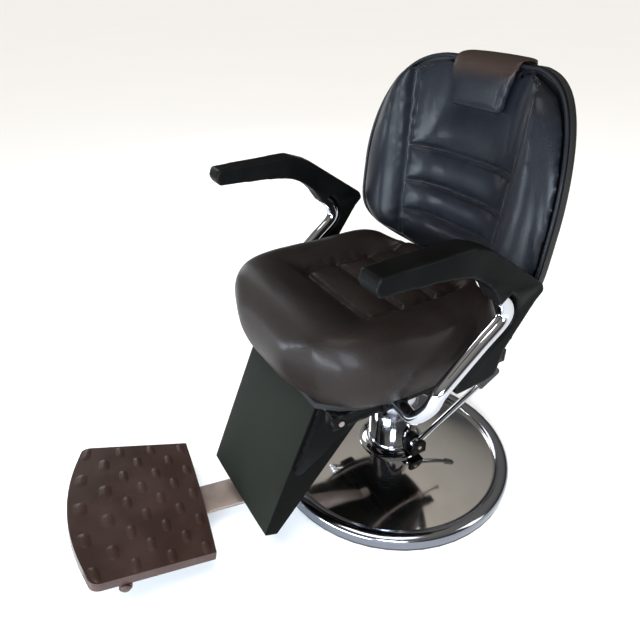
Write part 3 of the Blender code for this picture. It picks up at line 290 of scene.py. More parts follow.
class Finish:
    """A material whose nodes are added by one method."""

    def __init__(self, name, **constants):
        self.material = bpy.data.materials.new(name)
        self.material.use_nodes = True
        self.tree = self.material.node_tree
        self.shader = self.tree.nodes["Principled BSDF"]
        for socket, value in constants.items():
            self.shader.inputs[socket.replace("_", " ")].default_value = value
        self.place = self.node("ShaderNodeTexCoord", output="Object")

    def node(self, kind, sockets=(), output=0, **settings):
        """Add a node: its settings first, then the values or links of its sockets."""
        made = self.tree.nodes.new(kind)
        for name, value in settings.items():
            setattr(made, name, value)
        for name, value in dict(sockets).items():
            self.plug(made.inputs[name], value)
        return Value(self, made.outputs[output])

    def plug(self, socket, value):
        if isinstance(value, Value):
            self.tree.links.new(value.socket, socket)
        else:
            socket.default_value = value

    def feed(self, **inputs):
        """What changes over the surface."""
        for socket, value in inputs.items():
            self.plug(self.shader.inputs[socket.replace("_", " ")], value)

    def cloud(self, scale, detail=3.0, stretch=None):
        place = self.place
        if stretch:
            place = self.node("ShaderNodeMapping", {"Vector": place, "Scale": stretch})
        return self.node("ShaderNodeTexNoise", {"Vector": place, "Scale": scale, "Detail": detail}, "Fac")

    def cells(self, scale, feature="F1"):
        return self.node("ShaderNodeTexVoronoi", {"Vector": self.place, "Scale": scale}, "Distance",
                         feature=feature)

    def between(self, value, low, high, start=0.0, end=1.0):
        """A value spread from low..high to start..end, and kept in that range."""
        return self.node("ShaderNodeMapRange", {0: value, 1: low, 2: high, 3: start, 4: end},
                         interpolation_type="SMOOTHSTEP")

    def mix(self, share, first, second):
        first = first if isinstance(first, Value) else (*first, 1.0)
        second = second if isinstance(second, Value) else (*second, 1.0)
        return self.node("ShaderNodeMix", {0: share, 6: first, 7: second}, 2, data_type="RGBA")

    def across(self, axis):
        """One coordinate of the place."""
        return self.node("ShaderNodeSeparateXYZ", {0: self.place}, axis)

    def edges(self):
        """How far the surface turns at an edge: about half on a flat, more on a ridge."""
        return self.node("ShaderNodeNewGeometry", output="Pointiness")

    def relief(self, height, depth, strength=1.0):
        sockets = {"Strength": strength, "Distance": depth, "Height": height}
        self.feed(Normal=self.node("ShaderNodeBump", sockets, "Normal"))


# Painted reflection: the warm brown that light gives the tops of the leather
WARM_REFLECTION_BROWN = (0.0165, 0.0095, 0.0072)
WALL_BLACK = (0.0012, 0.0013, 0.0011)


def leather(name, colour, worn, gloss, crown=None):
    """Black leather: fine pebbles with creases between them, duller where it is handled.

    A crown is a pair of heights between which the leather turns to a painted reflection: the brown of warm
    light falling on its top.
    """
    finish = Finish(name, Specular_IOR_Level=0.07, Coat_Roughness=0.26)
    pebbles = finish.cells(640)
    creases = finish.between(finish.cells(310, "DISTANCE_TO_EDGE"), 0.0, 0.16)
    folds = finish.cloud(34, 4.0)
    patches = finish.between(finish.cloud(9, 4.0), 0.35, 0.70)
    tint = finish.mix(patches * 0.8 + (1 - creases) * 0.15, colour, worn)
    if crown:
        # painted reflection: brown on the top, between the crown's heights
        tint = finish.mix(finish.between(finish.across("Z"), *crown), tint, WARM_REFLECTION_BROWN)
    finish.feed(Base_Color=tint, Roughness=gloss + patches * 0.10 + (1 - creases) * 0.06,
                Coat_Weight=0.11 - patches * 0.06)
    finish.relief(creases * 0.55 + (1 - pebbles) * 0.20 + folds * 0.9, 0.0010, 0.5)
    return finish.material


def vinyl(name, colour, lighter, side=None):
    """Matt vinyl with a flat woven-looking grain.  Walls that stand further out than side are black."""
    finish = Finish(name, Specular_IOR_Level=0.03)
    grain = finish.cells(900)
    patches = finish.between(finish.cloud(6, 5.0), 0.30, 0.75)
    rub = finish.between(finish.edges(), 0.50, 0.62)
    tint = finish.mix(patches * 0.6 + rub * 0.5, colour, lighter)
    if side:
        wall = finish.between(abs(finish.across("X")), side - 0.002, side)
        tint = finish.mix(wall, tint, WALL_BLACK)
    finish.feed(Base_Color=tint, Roughness=0.50 + patches * 0.12 - grain * 0.05)
    finish.relief(grain + finish.cloud(140, 2.0) * 0.7, 0.0006, 0.4)
    return finish.material


def moulding(name, colour, rubbed, gloss, shine):
    """Moulded black plastic with a spark-eroded skin, polished where hands rub it."""
    finish = Finish(name, Specular_IOR_Level=shine, Coat_Roughness=0.18)
    stipple = finish.cloud(1400, 2.0)
    patches = finish.between(finish.cloud(11, 4.0), 0.35, 0.72)
    ridge = finish.between(finish.edges(), 0.505, 0.60)
    finish.feed(Base_Color=finish.mix(ridge * 0.7 + patches * 0.3, colour, rubbed),
                Roughness=gloss + patches * 0.10 - ridge * 0.08 + stipple * 0.05, Coat_Weight=ridge * 0.10)
    finish.relief(stipple, 0.0004, 0.35)
    return finish.material


def chrome(name, colour, gloss):
    """Chrome plate with faint polishing haze and finger marks."""
    finish = Finish(name, Metallic=1.0)
    haze = finish.between(finish.cloud(13, 5.0), 0.42, 0.78)
    swirl = finish.cloud(260, 2.0, (1.0, 1.0, 0.15))
    finish.feed(Base_Color=finish.mix(haze * 0.5, colour, [part * 0.82 for part in colour]),
                Roughness=gloss + haze * 0.07 + swirl * 0.03)
    return finish.material


def spun_chrome(name, colour, dark_rim_reflection, edge):
    """Chrome on a spun dish: fine rings from the lathe, and a rolled rim that is a little rougher and
    painted dark outside edge, a painted reflection of a dark room.
    """
    finish = Finish(name, Metallic=1.0)
    x = finish.across("X")
    y = finish.across("Y")
    radius = (x * x + y * y) ** 0.5
    rings = finish.node("ShaderNodeTexNoise", {"W": radius * 900, "Scale": 1.0, "Detail": 2.0}, "Fac",
                        noise_dimensions="1D")
    haze = finish.between(finish.cloud(13, 5.0), 0.42, 0.78)
    # painted reflection: outside edge the rim is painted dark for the dark room it mirrors, and made a
    # little rougher
    rim = finish.between(radius, edge - 0.002, edge + 0.006)
    bright = finish.mix(haze * 0.4, colour, [part * 0.80 for part in colour])
    finish.feed(Base_Color=finish.mix(rim, bright, dark_rim_reflection),
                Roughness=0.045 + haze * 0.06 + rings * 0.03 + rim * 0.05)
    return finish.material


def satin_steel(name, colour, along):
    """Bare steel, brushed along its length and slightly stained."""
    finish = Finish(name, Metallic=0.85)
    brush = finish.cloud(120, 3.0, along)
    stain = finish.between(finish.cloud(18, 5.0), 0.45, 0.80)
    finish.feed(Base_Color=finish.mix(stain * 0.6, colour, [part * 0.55 for part in colour]),
                Roughness=0.34 + brush * 0.18 + stain * 0.12)
    finish.relief(brush, 0.0003, 0.4)
    return finish.material


def paint(name, colour, chipped):
    """Black paint over steel, with a light orange peel and worn edges."""
    finish = Finish(name, Specular_IOR_Level=0.03)
    peel = finish.cloud(520, 2.0)
    dust = finish.between(finish.cloud(16, 5.0), 0.40, 0.75)
    wear = finish.between(finish.edges(), 0.53, 0.66) * finish.between(finish.cloud(90, 3.0), 0.45, 0.65)
    finish.feed(Base_Color=finish.mix(wear * 0.8 + dust * 0.03, colour, chipped),
                Roughness=0.38 + dust * 0.20, Metallic=wear * 0.8)
    finish.relief(peel, 0.0003, 0.3)
    return finish.material


def rubber(name, colour, dusty):
    finish = Finish(name, Specular_IOR_Level=0.3)
    dust = finish.between(finish.cloud(24, 5.0), 0.35, 0.75)
    skin = finish.cloud(900, 2.0)
    finish.feed(Base_Color=finish.mix(dust * 0.6, colour, dusty), Roughness=0.62 + dust * 0.22)
    finish.relief(skin, 0.0004, 0.5)
    return finish.material


def glossy_tread(name, colour, lighter):
    """Dark brown moulding with a wet-looking skin, painted paler on its studs: partly rubbed wear, partly a
    painted highlight.
    """
    finish = Finish(name, Specular_IOR_Level=0.09, Coat_Roughness=0.14)
    patches = finish.between(finish.cloud(14, 5.0), 0.32, 0.74)
    # painted highlight and wear: studs and edges paler in colour, with more coat and less roughness
    studs = finish.between(finish.edges(), 0.50, 0.56)
    ripple = finish.cloud(75, 3.0)
    finish.feed(Base_Color=finish.mix(patches * 0.45 + studs * 0.45, colour, lighter),
                Roughness=0.36 + patches * 0.14 - studs * 0.08, Coat_Weight=0.05 + studs * 0.22)
    finish.relief(ripple, 0.0010, 0.30)
    return finish.material


def iron(name, colour, rusty):
    finish = Finish(name, Metallic=0.6, Specular_IOR_Level=0.4)
    sand = finish.cloud(420, 4.0)
    rust = finish.between(finish.cloud(22, 6.0), 0.50, 0.72)
    finish.feed(Base_Color=finish.mix(rust, colour, rusty), Roughness=0.68 + rust * 0.2)
    finish.relief(sand, 0.0012, 0.7)
    return finish.material


# Painted reflections: the seat's warm brown tint stands for warm light reflected on it, and the back's and
# headrest's blue tint for a cool sheen; both are one black leather
SEAT_LEATHER = leather("seat_leather", (0.0056, 0.0037, 0.0031), (0.0105, 0.0073, 0.0062), 0.36)
BACK_LEATHER = leather("back_leather", (0.0030, 0.0035, 0.0052), (0.0070, 0.0079, 0.0106), 0.37)
HEADREST_LEATHER = leather("headrest_leather", (0.0030, 0.0035, 0.0052), (0.0070, 0.0079, 0.0106), 0.36,
                           HEADREST_REFLECTION_HEIGHTS)
# The second colour is the rim's painted dark reflection
DISH_CHROME = spun_chrome("dish_chrome", (0.64, 0.63, 0.62), (0.20, 0.21, 0.24), 0.264)
SHELL_MOULDING = moulding("shell_moulding", (0.0045, 0.0045, 0.0047), (0.0140, 0.0138, 0.0138), 0.36,
                          0.14)
THREAD = vinyl("thread", (0.020, 0.019, 0.019), (0.045, 0.043, 0.042))
FINISHES = {
    "chrome": chrome("chrome", (0.46, 0.47, 0.50), 0.05),
    "steel": satin_steel("satin_steel", (0.235, 0.190, 0.170), (1.0, 0.05, 1.0)),
    "black_steel": paint("black_paint", (0.0012, 0.0012, 0.0013), (0.05, 0.048, 0.046)),
    "cast_iron": iron("cast_iron", (0.045, 0.044, 0.043), (0.085, 0.048, 0.030)),
    "rubber": rubber("rubber", (0.014, 0.014, 0.014), (0.045, 0.043, 0.040)),
    "leather": BACK_LEATHER,
    "vinyl": vinyl("vinyl", (0.0046, 0.0051, 0.0036), (0.0088, 0.0096, 0.0072),
                   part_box("legrest_panel")[1].x - 0.002),
    "covered_board": vinyl("board_cover", (0.008, 0.008, 0.008), (0.017, 0.016, 0.016)),
    "moulding": moulding("moulding", (0.0020, 0.0020, 0.0020), (0.0090, 0.0088, 0.0085), 0.38, 0.02),
    "tread": glossy_tread("tread", (0.0205, 0.0105, 0.0083), (0.043, 0.025, 0.021)),
}


def dress_cad_nodes():
    """Every CAD node takes the finish of its slot in the record."""
    for part in frame["record"]["subparts"]:
        mesh = NODES[part["node"]].data
        mesh.materials.clear()
        mesh.materials.append(FINISHES[part["material_slot"]])


# Modelling helpers
def joint_axes(name, *turns):
    """The axes of a joint's pieces at rest: its place, then turns of (angle, axis)."""
    axes = Matrix.Translation(JOINTS[name]["pos_m"])
    for angle, axis in turns:
        axes = axes @ Matrix.Rotation(angle, 4, axis)
    return axes


BACK_AXES = joint_axes("recline", (-BACK_TILT, "X"))
LEVER_AXES = joint_axes("foot_lever_pump", (LEVER_ANGLE, "X"))
PLATE_AXES = joint_axes("footplate_tip", (FOOT_YAW, "Z"), (-PLATE_TILT, "X"))

# A plan is a plane to sew in: across, along, and out of the surface
SEAT_PLAN = Matrix.Identity(4)
BACK_PLAN = BACK_AXES @ Matrix(((1, 0, 0, 0), (0, 0, -1, -BACK_SET), (0, 1, 0, BACK_RISE), (0, 0, 0, 1)))


def body_of(node):
    return NODES[node]["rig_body"]


def slot_of(node):
    return next(part["material_slot"] for part in frame["record"]["subparts"] if part["node"] == node)


def as_mesh(bm, place=None):
    """A closed bmesh as a mesh with its faces pointing out."""
    if place is not None:
        bmesh.ops.transform(bm, matrix=place, verts=bm.verts[:])
    bmesh.ops.recalc_face_normals(bm, faces=bm.faces[:])
    if bm.calc_volume(signed=True) < 0:
        bmesh.ops.reverse_faces(bm, faces=bm.faces[:])
    mesh = bpy.data.meshes.new("piece")
    bm.to_mesh(mesh)
    bm.free()
    return mesh


def piece(name, mesh, body, finish, replaced=(), sharp=40):
    """A finished mesh that rides on a body and stands for CAD nodes."""
    mesh.materials.clear()
    mesh.materials.append(finish)
    mesh.shade_smooth()
    mesh.set_sharp_from_angle(angle=math.radians(sharp))
    made = bpy.data.objects.new(name, mesh)
    bpy.context.scene.collection.objects.link(made)
    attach(made, body)
    if replaced:
        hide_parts(*replaced)
    return made


def stand_in(node, mesh, finish=None, sharp=40):
    """A piece that stands for one CAD node, with its body and its slot."""
    slot = slot_of(node)
    return piece(node + "_look", mesh, body_of(node), finish or FINISHES[slot], (node,), sharp)


def copy_of(node):
    bm = bmesh.new()
    bm.from_mesh(NODES[node].data)
    bmesh.ops.remove_doubles(bm, verts=bm.verts[:], dist=1e-5)
    return bm


def evaluated(mesh, *steps):
    """A mesh after modifiers, each given as a type and its settings."""
    holder = bpy.data.objects.new("holder", mesh)
    bpy.context.scene.collection.objects.link(holder)
    for kind, settings in steps:
        step = holder.modifiers.new(kind.lower(), kind)
        for name, value in settings.items():
            setattr(step, name, value)
    made = bpy.data.meshes.new_from_object(holder.evaluated_get(bpy.context.evaluated_depsgraph_get()))
    bpy.data.objects.remove(holder)
    return made


def coordinates(mesh):
    flat = np.empty(len(mesh.vertices) * 3, np.float32)
    mesh.vertices.foreach_get("co", flat)
    return flat.reshape(-1, 3).astype(float)


def normals(mesh):
    flat = np.empty(len(mesh.vertices) * 3, np.float32)
    mesh.vertex_normals.foreach_get("vector", flat)
    return flat.reshape(-1, 3).astype(float)


def place_vertices(mesh, places):
    mesh.vertices.foreach_set("co", places.astype(np.float32).ravel())
    mesh.update()


def ray_tree(mesh):
    """A mesh to cast rays at."""
    places = [vert.co for vert in mesh.vertices]
    return BVHTree.FromPolygons(places, [face.vertices for face in mesh.polygons])


def smooth(bm, verts, rounds):
    for _ in range(rounds):
        bmesh.ops.smooth_vert(bm, verts=verts, factor=0.5, use_axis_x=True, use_axis_y=True, use_axis_z=True)


def round_edges(bm, sharp, width, segments):
    """Round the edges that turn by more than some degrees."""
    edges = [edge for edge in bm.edges if edge.calc_face_angle(0) > math.radians(sharp)]
    bmesh.ops.bevel(bm, geom=edges, offset=width, segments=segments, profile=0.5, affect="EDGES",
                    clamp_overlap=True, material=-1)


def remeshed(node, voxel, smoothing, draw_in=0.0):
    """A CAD node's shape in even small faces, drawn in a little and with its facets smoothed away."""
    mesh = as_mesh(copy_of(node))
    if draw_in:
        place_vertices(mesh, coordinates(mesh) - draw_in * normals(mesh))
    even = evaluated(mesh, ("REMESH", {"mode": "VOXEL", "voxel_size": voxel}))
    bm = bmesh.new()
    bm.from_mesh(even)
    smooth(bm, bm.verts[:], smoothing)
    return as_mesh(bm)


def softened(node, width, segments=2, sharp=30):
    """A CAD node with its sharp edges rounded."""
    bm = copy_of(node)
    bmesh.ops.dissolve_limit(bm, angle_limit=math.radians(1), verts=bm.verts[:], edges=bm.edges[:])
    round_edges(bm, sharp, width, segments)
    return as_mesh(bm)


def turned(profile, sides=FINE_SIDES):
    """Spin a profile of (radius, height) points about Z.  It is a closed loop, or runs from axis to axis."""
    bm = bmesh.new()
    points = [bm.verts.new((radius, 0, height)) for radius, height in profile]
    lines = [bm.edges.new(pair) for pair in zip(points, points[1:])]
    if profile[0][0] > 0:
        lines.append(bm.edges.new((points[-1], points[0])))
    bmesh.ops.spin(bm, geom=points + lines, axis=(0, 0, 1), cent=(0, 0, 0), angle=2 * math.pi, steps=sides,
                   use_merge=True)
    bmesh.ops.remove_doubles(bm, verts=bm.verts[:], dist=1e-6)
    return bm


def smooth_path(points, steps):
    """A smooth curve through a few points."""
    points = [Vector(point) for point in points]
    ends = [2 * points[0] - points[1]] + points + [2 * points[-1] - points[-2]]
    path = []
    for before, here, there, after in zip(ends, ends[1:], ends[2:], ends[3:]):
        for i in range(steps):
            t = i / steps
            path.append(0.5 * (2 * here + (there - before) * t
                               + (2 * before - 5 * here + 4 * there - after) * t ** 2
                               + (3 * here - before - 3 * there + after) * t ** 3))
    return path + [points[-1]]


def tube(path, radius, sides=6, closed=False):
    """A round tube with closed ends along a path."""
    curve = bpy.data.curves.new("tube", "CURVE")
    curve.dimensions = "3D"
    curve.bevel_depth = radius
    curve.bevel_resolution = sides
    curve.use_fill_caps = True
    line = curve.splines.new("POLY")
    line.use_cyclic_u = closed
    line.points.add(len(path) - 1)
    for point, place in zip(line.points, path):
        point.co = (*place, 1)
    holder = bpy.data.objects.new("tube", curve)
    bpy.context.scene.collection.objects.link(holder)
    mesh = bpy.data.meshes.new_from_object(holder.evaluated_get(bpy.context.evaluated_depsgraph_get()))
    bpy.data.objects.remove(holder)
    bm = bmesh.new()
    bm.from_mesh(mesh)
    bmesh.ops.remove_doubles(bm, verts=bm.verts[:], dist=1e-6)
    return as_mesh(bm)


# Stuffed covers: blown up between their seams, then sewn
def distance_to(points, path):
    """Least distance of plan points from a path."""
    least = np.full(len(points), 1e9)
    for start, end in zip(path, path[1:]):
        start = np.array(start)
        run = np.array(end) - start
        share = np.clip((points - start) @ run / (run @ run), 0, 1)
        least = np.minimum(least, np.linalg.norm(points - start - share[:, None] * run, axis=1))
    return least


def seam_distance(mesh, plan, paths):
    """Each vertex's distance from the nearest seam, and how squarely it faces out of the plan."""
    turn = np.array(plan.inverted())
    points = coordinates(mesh) @ turn[:3, :3].T + turn[:3, 3]
    facing = normals(mesh) @ turn[:3, :3].T
    least = np.min([distance_to(points[:, :2], np.array(path)) for path in paths], axis=0)
    return least, facing[:, 2]


def blown_up(mesh, held, cap, pressure=4.0):
    """Blow a cover up with its held vertices fixed, and limit how far any other one moves."""
    cover = bpy.data.objects.new("cover", mesh)
    bpy.context.scene.collection.objects.link(cover)
    group = cover.vertex_groups.new(name="held")
    group.add([int(i) for i in np.flatnonzero(held)], 1.0, "REPLACE")
    cloth = cover.modifiers.new("cover", "CLOTH")
    cloth.settings.quality = 4
    cloth.settings.mass = 0.3
    cloth.settings.use_pressure = True
    cloth.settings.uniform_pressure_force = pressure
    cloth.settings.vertex_group_mass = "held"
    cloth.settings.effector_weights.gravity = 0
    cloth.collision_settings.use_collision = False
    for step in range(1, COVER_FRAMES + 1):
        bpy.context.scene.frame_set(step)
    full = bpy.data.meshes.new_from_object(cover.evaluated_get(bpy.context.evaluated_depsgraph_get()))
    bpy.data.objects.remove(cover)
    bpy.context.scene.frame_set(1)
    start = coordinates(mesh)
    move = coordinates(full) - start
    length = np.maximum(np.linalg.norm(move, axis=1), 1e-9)
    place_vertices(full, start + move * np.minimum(1, cap / length)[:, None])
    return full


def eased(mesh, held, rounds):
    """Even out the small wrinkles of a blown-up cover, with its held vertices fixed."""
    bm = bmesh.new()
    bm.from_mesh(mesh)
    smooth(bm, [vert for vert in bm.verts if not held[vert.index]], rounds)
    bm.to_mesh(mesh)
    bm.free()
    return mesh


def facing_nodes(mesh, nodes, reach):
    """Which vertices look straight at one of some CAD nodes that is within reach."""
    seen = np.zeros(len(mesh.vertices), bool)
    for node in nodes:
        tree = ray_tree(NODES[node].data)
        for i, (place, normal) in enumerate(zip(coordinates(mesh), normals(mesh))):
            seen[i] |= tree.ray_cast(Vector(place), Vector(normal), reach)[0] is not None
    return seen


def stuffed(node, plan, seams, voxel, draw_in, cap, seam_depth, flat_below=None, smoothing=8, beside=()):
    """A cushion made from its CAD solid: blown up between its seams, refined, and drawn in along them.

    What looks at a node beside it stays where it is.
    """
    mesh = remeshed(node, voxel, smoothing, draw_in)
    least, facing = seam_distance(mesh, plan, seams)
    held = (least < 1.2 * voxel) & (facing > 0.2)
    if flat_below is not None:
        held |= facing < flat_below
    held |= facing_nodes(mesh, beside, BESIDE_REACH)
    mesh = eased(blown_up(mesh, held, cap), held, EASE_ROUNDS)
    mesh = evaluated(mesh, ("SUBSURF", {"levels": 1, "render_levels": 1}))
    least, facing = seam_distance(mesh, plan, seams)
    places = coordinates(mesh)
    pucker = np.array([noise.noise(Vector(point) * PUCKER_SCALE) for point in places])
    groove = np.exp(-(least / SEAM_WIDTH) ** 2)
    groove += (0.30 + 0.35 * pucker) * np.exp(-(least / PUCKER_WIDTH) ** 2)
    depth = seam_depth * groove * np.clip(facing * 3, 0, 1)
    out = np.array(plan.to_3x3() @ Vector((0, 0, 1)))
    places -= depth[:, None] * (0.5 * normals(mesh) + 0.5 * out)
    place_vertices(mesh, places)
    return mesh


class Surface:
    """A finished cover to sew on: plan points are dropped on it."""

    def __init__(self, mesh, plan):
        self.plan = plan
        self.into = plan.to_3x3() @ Vector((0, 0, -1))
        self.tree = ray_tree(mesh)

    def drop(self, point):
        """Where a plan point lands, and the surface's direction there."""
        start = self.plan @ Vector((point[0], point[1], 1.0))
        place, normal, _, _ = self.tree.ray_cast(start, self.into)
        return place, normal


def even_steps(path, gap):
    """Points and directions at an even gap along a plan path."""
    marks = []
    carried = gap / 2
    for start, end in zip(path, path[1:]):
        start = Vector(start)
        run = Vector(end) - start
        while carried < run.length:
            marks.append((start + run.normalized() * carried, run.normalized()))
            carried += gap
        carried -= run.length
    return marks


def sewn(name, surface, paths, body, aside=STITCH_ASIDE):
    """Two rows of stitches along each seam."""
    bm = bmesh.new()
    for path in paths:
        for point, run in even_steps(path, STITCH_GAP):
            for side in (-aside, aside):
                place, normal = surface.drop(point + side * Vector((-run.y, run.x)))
                if place is None or normal.dot(surface.into) > -0.2:
                    continue
                along = surface.plan.to_3x3() @ Vector((run.x, run.y, 0))
                along = (along - normal * along.dot(normal)).normalized()
                turn = Matrix((along, normal.cross(along), normal)).transposed().to_4x4()
                size = Matrix.Diagonal((*STITCH_HALF, 1))
                bmesh.ops.create_uvsphere(bm, u_segments=6, v_segments=4, radius=1,
                                          matrix=Matrix.Translation(place) @ turn @ size)
    return piece(name, as_mesh(bm), body, THREAD, sharp=80)


def rounded_corner(before, corner, after, radius, steps=6):
    """Points that go round a plan corner."""
    corner = Vector(corner)
    start = corner + (Vector(before) - corner).normalized() * radius
    end = corner + (Vector(after) - corner).normalized() * radius
    shares = [i / steps for i in range(steps + 1)]
    return [tuple((1 - t) ** 2 * start + 2 * t * (1 - t) * corner + t ** 2 * end) for t in shares]


def smooth_share(values, low, high):
    """From 0 at low to 1 at high, with soft ends."""
    share = np.clip((values - low) / (high - low), 0, 1)
    return share * share * (3 - 2 * share)


# Seat
def fill_seat_rear(mesh):
    """Bring the rear edge up and back between the bolsters, where it meets the back."""
    places = coordinates(mesh)
    x, y, z = places.T
    share = 1 - smooth_share(np.abs(x), *SEAT_REAR_ACROSS)
    share *= smooth_share(y, *SEAT_REAR_ALONG) * smooth_share(z, *SEAT_REAR_UP)
    place_vertices(mesh, places + share[:, None] * SEAT_REAR_FILL)


def make_seat():
    rear_left = (SEAT_SEAM_X - SEAT_SEAM_NARROWING, SEAT_SEAM_REAR)
    front_left = (SEAT_SEAM_X, SEAT_SEAM_Y)
    front_right = (-SEAT_SEAM_X, SEAT_SEAM_Y)
    rear_right = (-rear_left[0], SEAT_SEAM_REAR)
    edge = [rear_left]
    edge += rounded_corner(rear_left, front_left, front_right, SEAT_SEAM_CORNER)
    edge += rounded_corner(front_left, front_right, rear_right, SEAT_SEAM_CORNER)
    edge += [rear_right]
    across = SEAT_SEAM_X - CHANNEL_INSET
    channels = [[(across, y), (-across, y)] for y in SEAT_CHANNELS]
    mesh = stuffed("seat_cushion", SEAT_PLAN, [edge] + channels, voxel=0.006, draw_in=0.001, cap=0.009,
                   seam_depth=0.006, flat_below=-0.8)
    fill_seat_rear(mesh)
    surface = Surface(mesh, SEAT_PLAN)
    cushion = stand_in("seat_cushion", mesh, SEAT_LEATHER, sharp=180)
    sewn("seat_stitches", surface, [edge] + channels, "seat")


# Back
def back_half(up):
    """Half of the back's width at a height: squarer below its widest place, rounder above."""
    low = up < BACK_WIDEST
    share = min(1.0, abs(up - BACK_WIDEST) / (BACK_LOWER if low else BACK_UPPER))
    return BACK_HALF * ((1 - share ** 6.0) ** 0.5 if low else (1 - share ** 1.8) ** (1 / 4.5))


def shell_ahead(x):
    """How far the shell stands ahead of the datum plane: it wraps forward towards its sides."""
    return BACK_WRAP * (x / BACK_HALF) ** 2 - SHELL_DEPTH


def back_seam(up):
    """How far from the middle the seam between panel and bolster runs at a height."""
    return min(BACK_SEAM_FOOT + BACK_SEAM_FLARE * up, 0.8 * back_half(up))


def fill_back_bottom(mesh):
    """Let the bottom edge hang a little lower between the seat's bolsters."""
    places = coordinates(mesh)
    turn = np.array(BACK_PLAN.inverted())
    across, up, _ = (places @ turn[:3, :3].T + turn[:3, 3]).T
    share = 1 - smooth_share(np.abs(across), *BACK_BOTTOM_ACROSS)
    share *= 1 - smooth_share(up, BACK_BOTTOM, BACK_BOTTOM + BACK_BOTTOM_UP)
    down = np.array(BACK_PLAN.to_3x3() @ Vector((0, -BACK_BOTTOM_FILL, 0)))
    place_vertices(mesh, places + share[:, None] * down)


def make_back():
    start = BACK_BOTTOM + BACK_SEAM_ENDS[0]
    run = BACK_TOP - BACK_BOTTOM - sum(BACK_SEAM_ENDS)
    heights = [start + i * run / BACK_SEAM_STEPS for i in range(BACK_SEAM_STEPS + 1)]
    sides = [[(side * back_seam(up), up) for up in heights] for side, _ in SIDES]
    channels = [[(side * (back_seam(up) - CHANNEL_INSET), up) for side in (-1, 1)] for up in BACK_CHANNELS]
    mesh = stuffed("back_cushion", BACK_PLAN, sides + channels, voxel=0.0055, draw_in=0.004, cap=0.010,
                   seam_depth=0.0055, flat_below=-0.3, beside=("headrest_pad",))
    fill_back_bottom(mesh)
    surface = Surface(mesh, BACK_PLAN)
    cushion = stand_in("back_cushion", mesh, BACK_LEATHER, sharp=180)
    sewn("back_stitches", surface, sides + channels, "back")


def make_shell():
    """The moulded back of the chair, with a rolled rim, and a welt between it and the cushion."""
    middle = (BACK_BOTTOM + BACK_TOP) / 2
    length = (BACK_TOP - BACK_BOTTOM) / 2

    def rim_point(share, angle, spread, ahead):
        up = middle - length * math.cos(angle)
        x = share * (back_half(up) + spread)
        grown = middle + (up - middle) * (1 + spread / length)
        return BACK_PLAN @ Vector((x, grown, shell_ahead(x) + ahead))

    def groove(share, angle):
        """A soft groove that follows the rim."""
        up = middle - length * math.cos(angle)
        margins = ((1 - abs(share)) * back_half(up), BACK_TOP - up, up - BACK_BOTTOM)
        inside = sum(max(margin, 1e-4) ** -4 for margin in margins) ** -0.25
        return GROOVE_DEPTH * math.exp(-((inside - GROOVE_INSET) / GROOVE_WIDTH) ** 2)

    bm = bmesh.new()
    bmesh.ops.create_grid(bm, x_segments=SHELL_GRID[0], y_segments=SHELL_GRID[1], size=1)
    rear = bm.faces[:]
    grown = bmesh.ops.extrude_face_region(bm, geom=rear)["geom"]
    front = {item for item in grown if isinstance(item, bmesh.types.BMVert)}
    for vert in bm.verts:
        angle = (vert.co.y + 1) / 2 * math.pi
        ahead = 0.0 if vert in front else groove(vert.co.x, angle) - SHELL_THICK
        vert.co = rim_point(vert.co.x, angle, SHELL_RIM, ahead)
    bm.normal_update()
    round_edges(bm, 50, SHELL_EDGE, 4)
    bmesh.ops.remove_doubles(bm, verts=bm.verts[:], dist=1e-5)
    stand_in("back_shell", as_mesh(bm), SHELL_MOULDING, sharp=60)

    angles = [math.pi * i / WELT_STEPS for i in range(WELT_STEPS + 1)]
    path = [rim_point(1, angle, WELT_SPREAD, WELT_AHEAD) for angle in angles]
    path += [rim_point(-1, angle, WELT_SPREAD, WELT_AHEAD) for angle in reversed(angles)]
    mesh = tube(path, WELT_RADIUS, 4, closed=True)
    welt = piece("back_welt", mesh, "back", BACK_LEATHER, sharp=80)


def make_headrest():
    low_x, low = HEADREST_SEAM_LOW
    high_x, high = HEADREST_SEAM_HIGH
    seams = [[(-low_x, low), (low_x, low)], [(-low_x, low), (-high_x, high)], [(low_x, low), (high_x, high)]]
    mesh = stuffed("headrest_pad", BACK_PLAN, seams, voxel=0.004, draw_in=0.0010, cap=0.008,
                   seam_depth=0.0014, smoothing=5, beside=("back_cushion", "back_shell"))
    surface = Surface(mesh, BACK_PLAN)
    pad = stand_in("headrest_pad", mesh, HEADREST_LEATHER, sharp=180)
    sewn("headrest_stitches", surface, seams, "headrest", aside=0.0)


# Legrest
def make_legrest():
    panel = stand_in("legrest_panel", softened("legrest_panel", 0.004, 4), sharp=50)


# Arms
def make_arms():
    rail_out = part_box("arm_bracket_left")[1].x
    middle = (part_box("arm_bracket_left")[0].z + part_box("arm_bracket_left")[1].z) / 2
    for side, name in SIDES:
        stand_in("armrest_" + name, remeshed("armrest_" + name, voxel=0.0028, smoothing=7), sharp=180)
        foot_y, foot_z = TUBE_POINTS[0]
        start = rail_out + TUBE_FOOT_GAP
        corners = [(start + TUBE_RADIUS, TUBE_FOOT_Y, middle), (ARM_X - TUBE_BEND, TUBE_FOOT_Y, middle),
                   (ARM_X - TUBE_BEND / 5, (TUBE_FOOT_Y + foot_y) / 2, (middle + foot_z) / 2),
                   (ARM_X, foot_y, foot_z)]
        path = [Vector((start, TUBE_FOOT_Y, middle))] + smooth_path(corners, 10)[:-1]
        path += [Vector((ARM_X, point.x, point.y)) for point in smooth_path(TUBE_POINTS, 10)]
        path = [(side * point.x, point.y, point.z) for point in path]
        stand_in("arm_tube_" + name, tube(path, TUBE_RADIUS, 10), sharp=60)


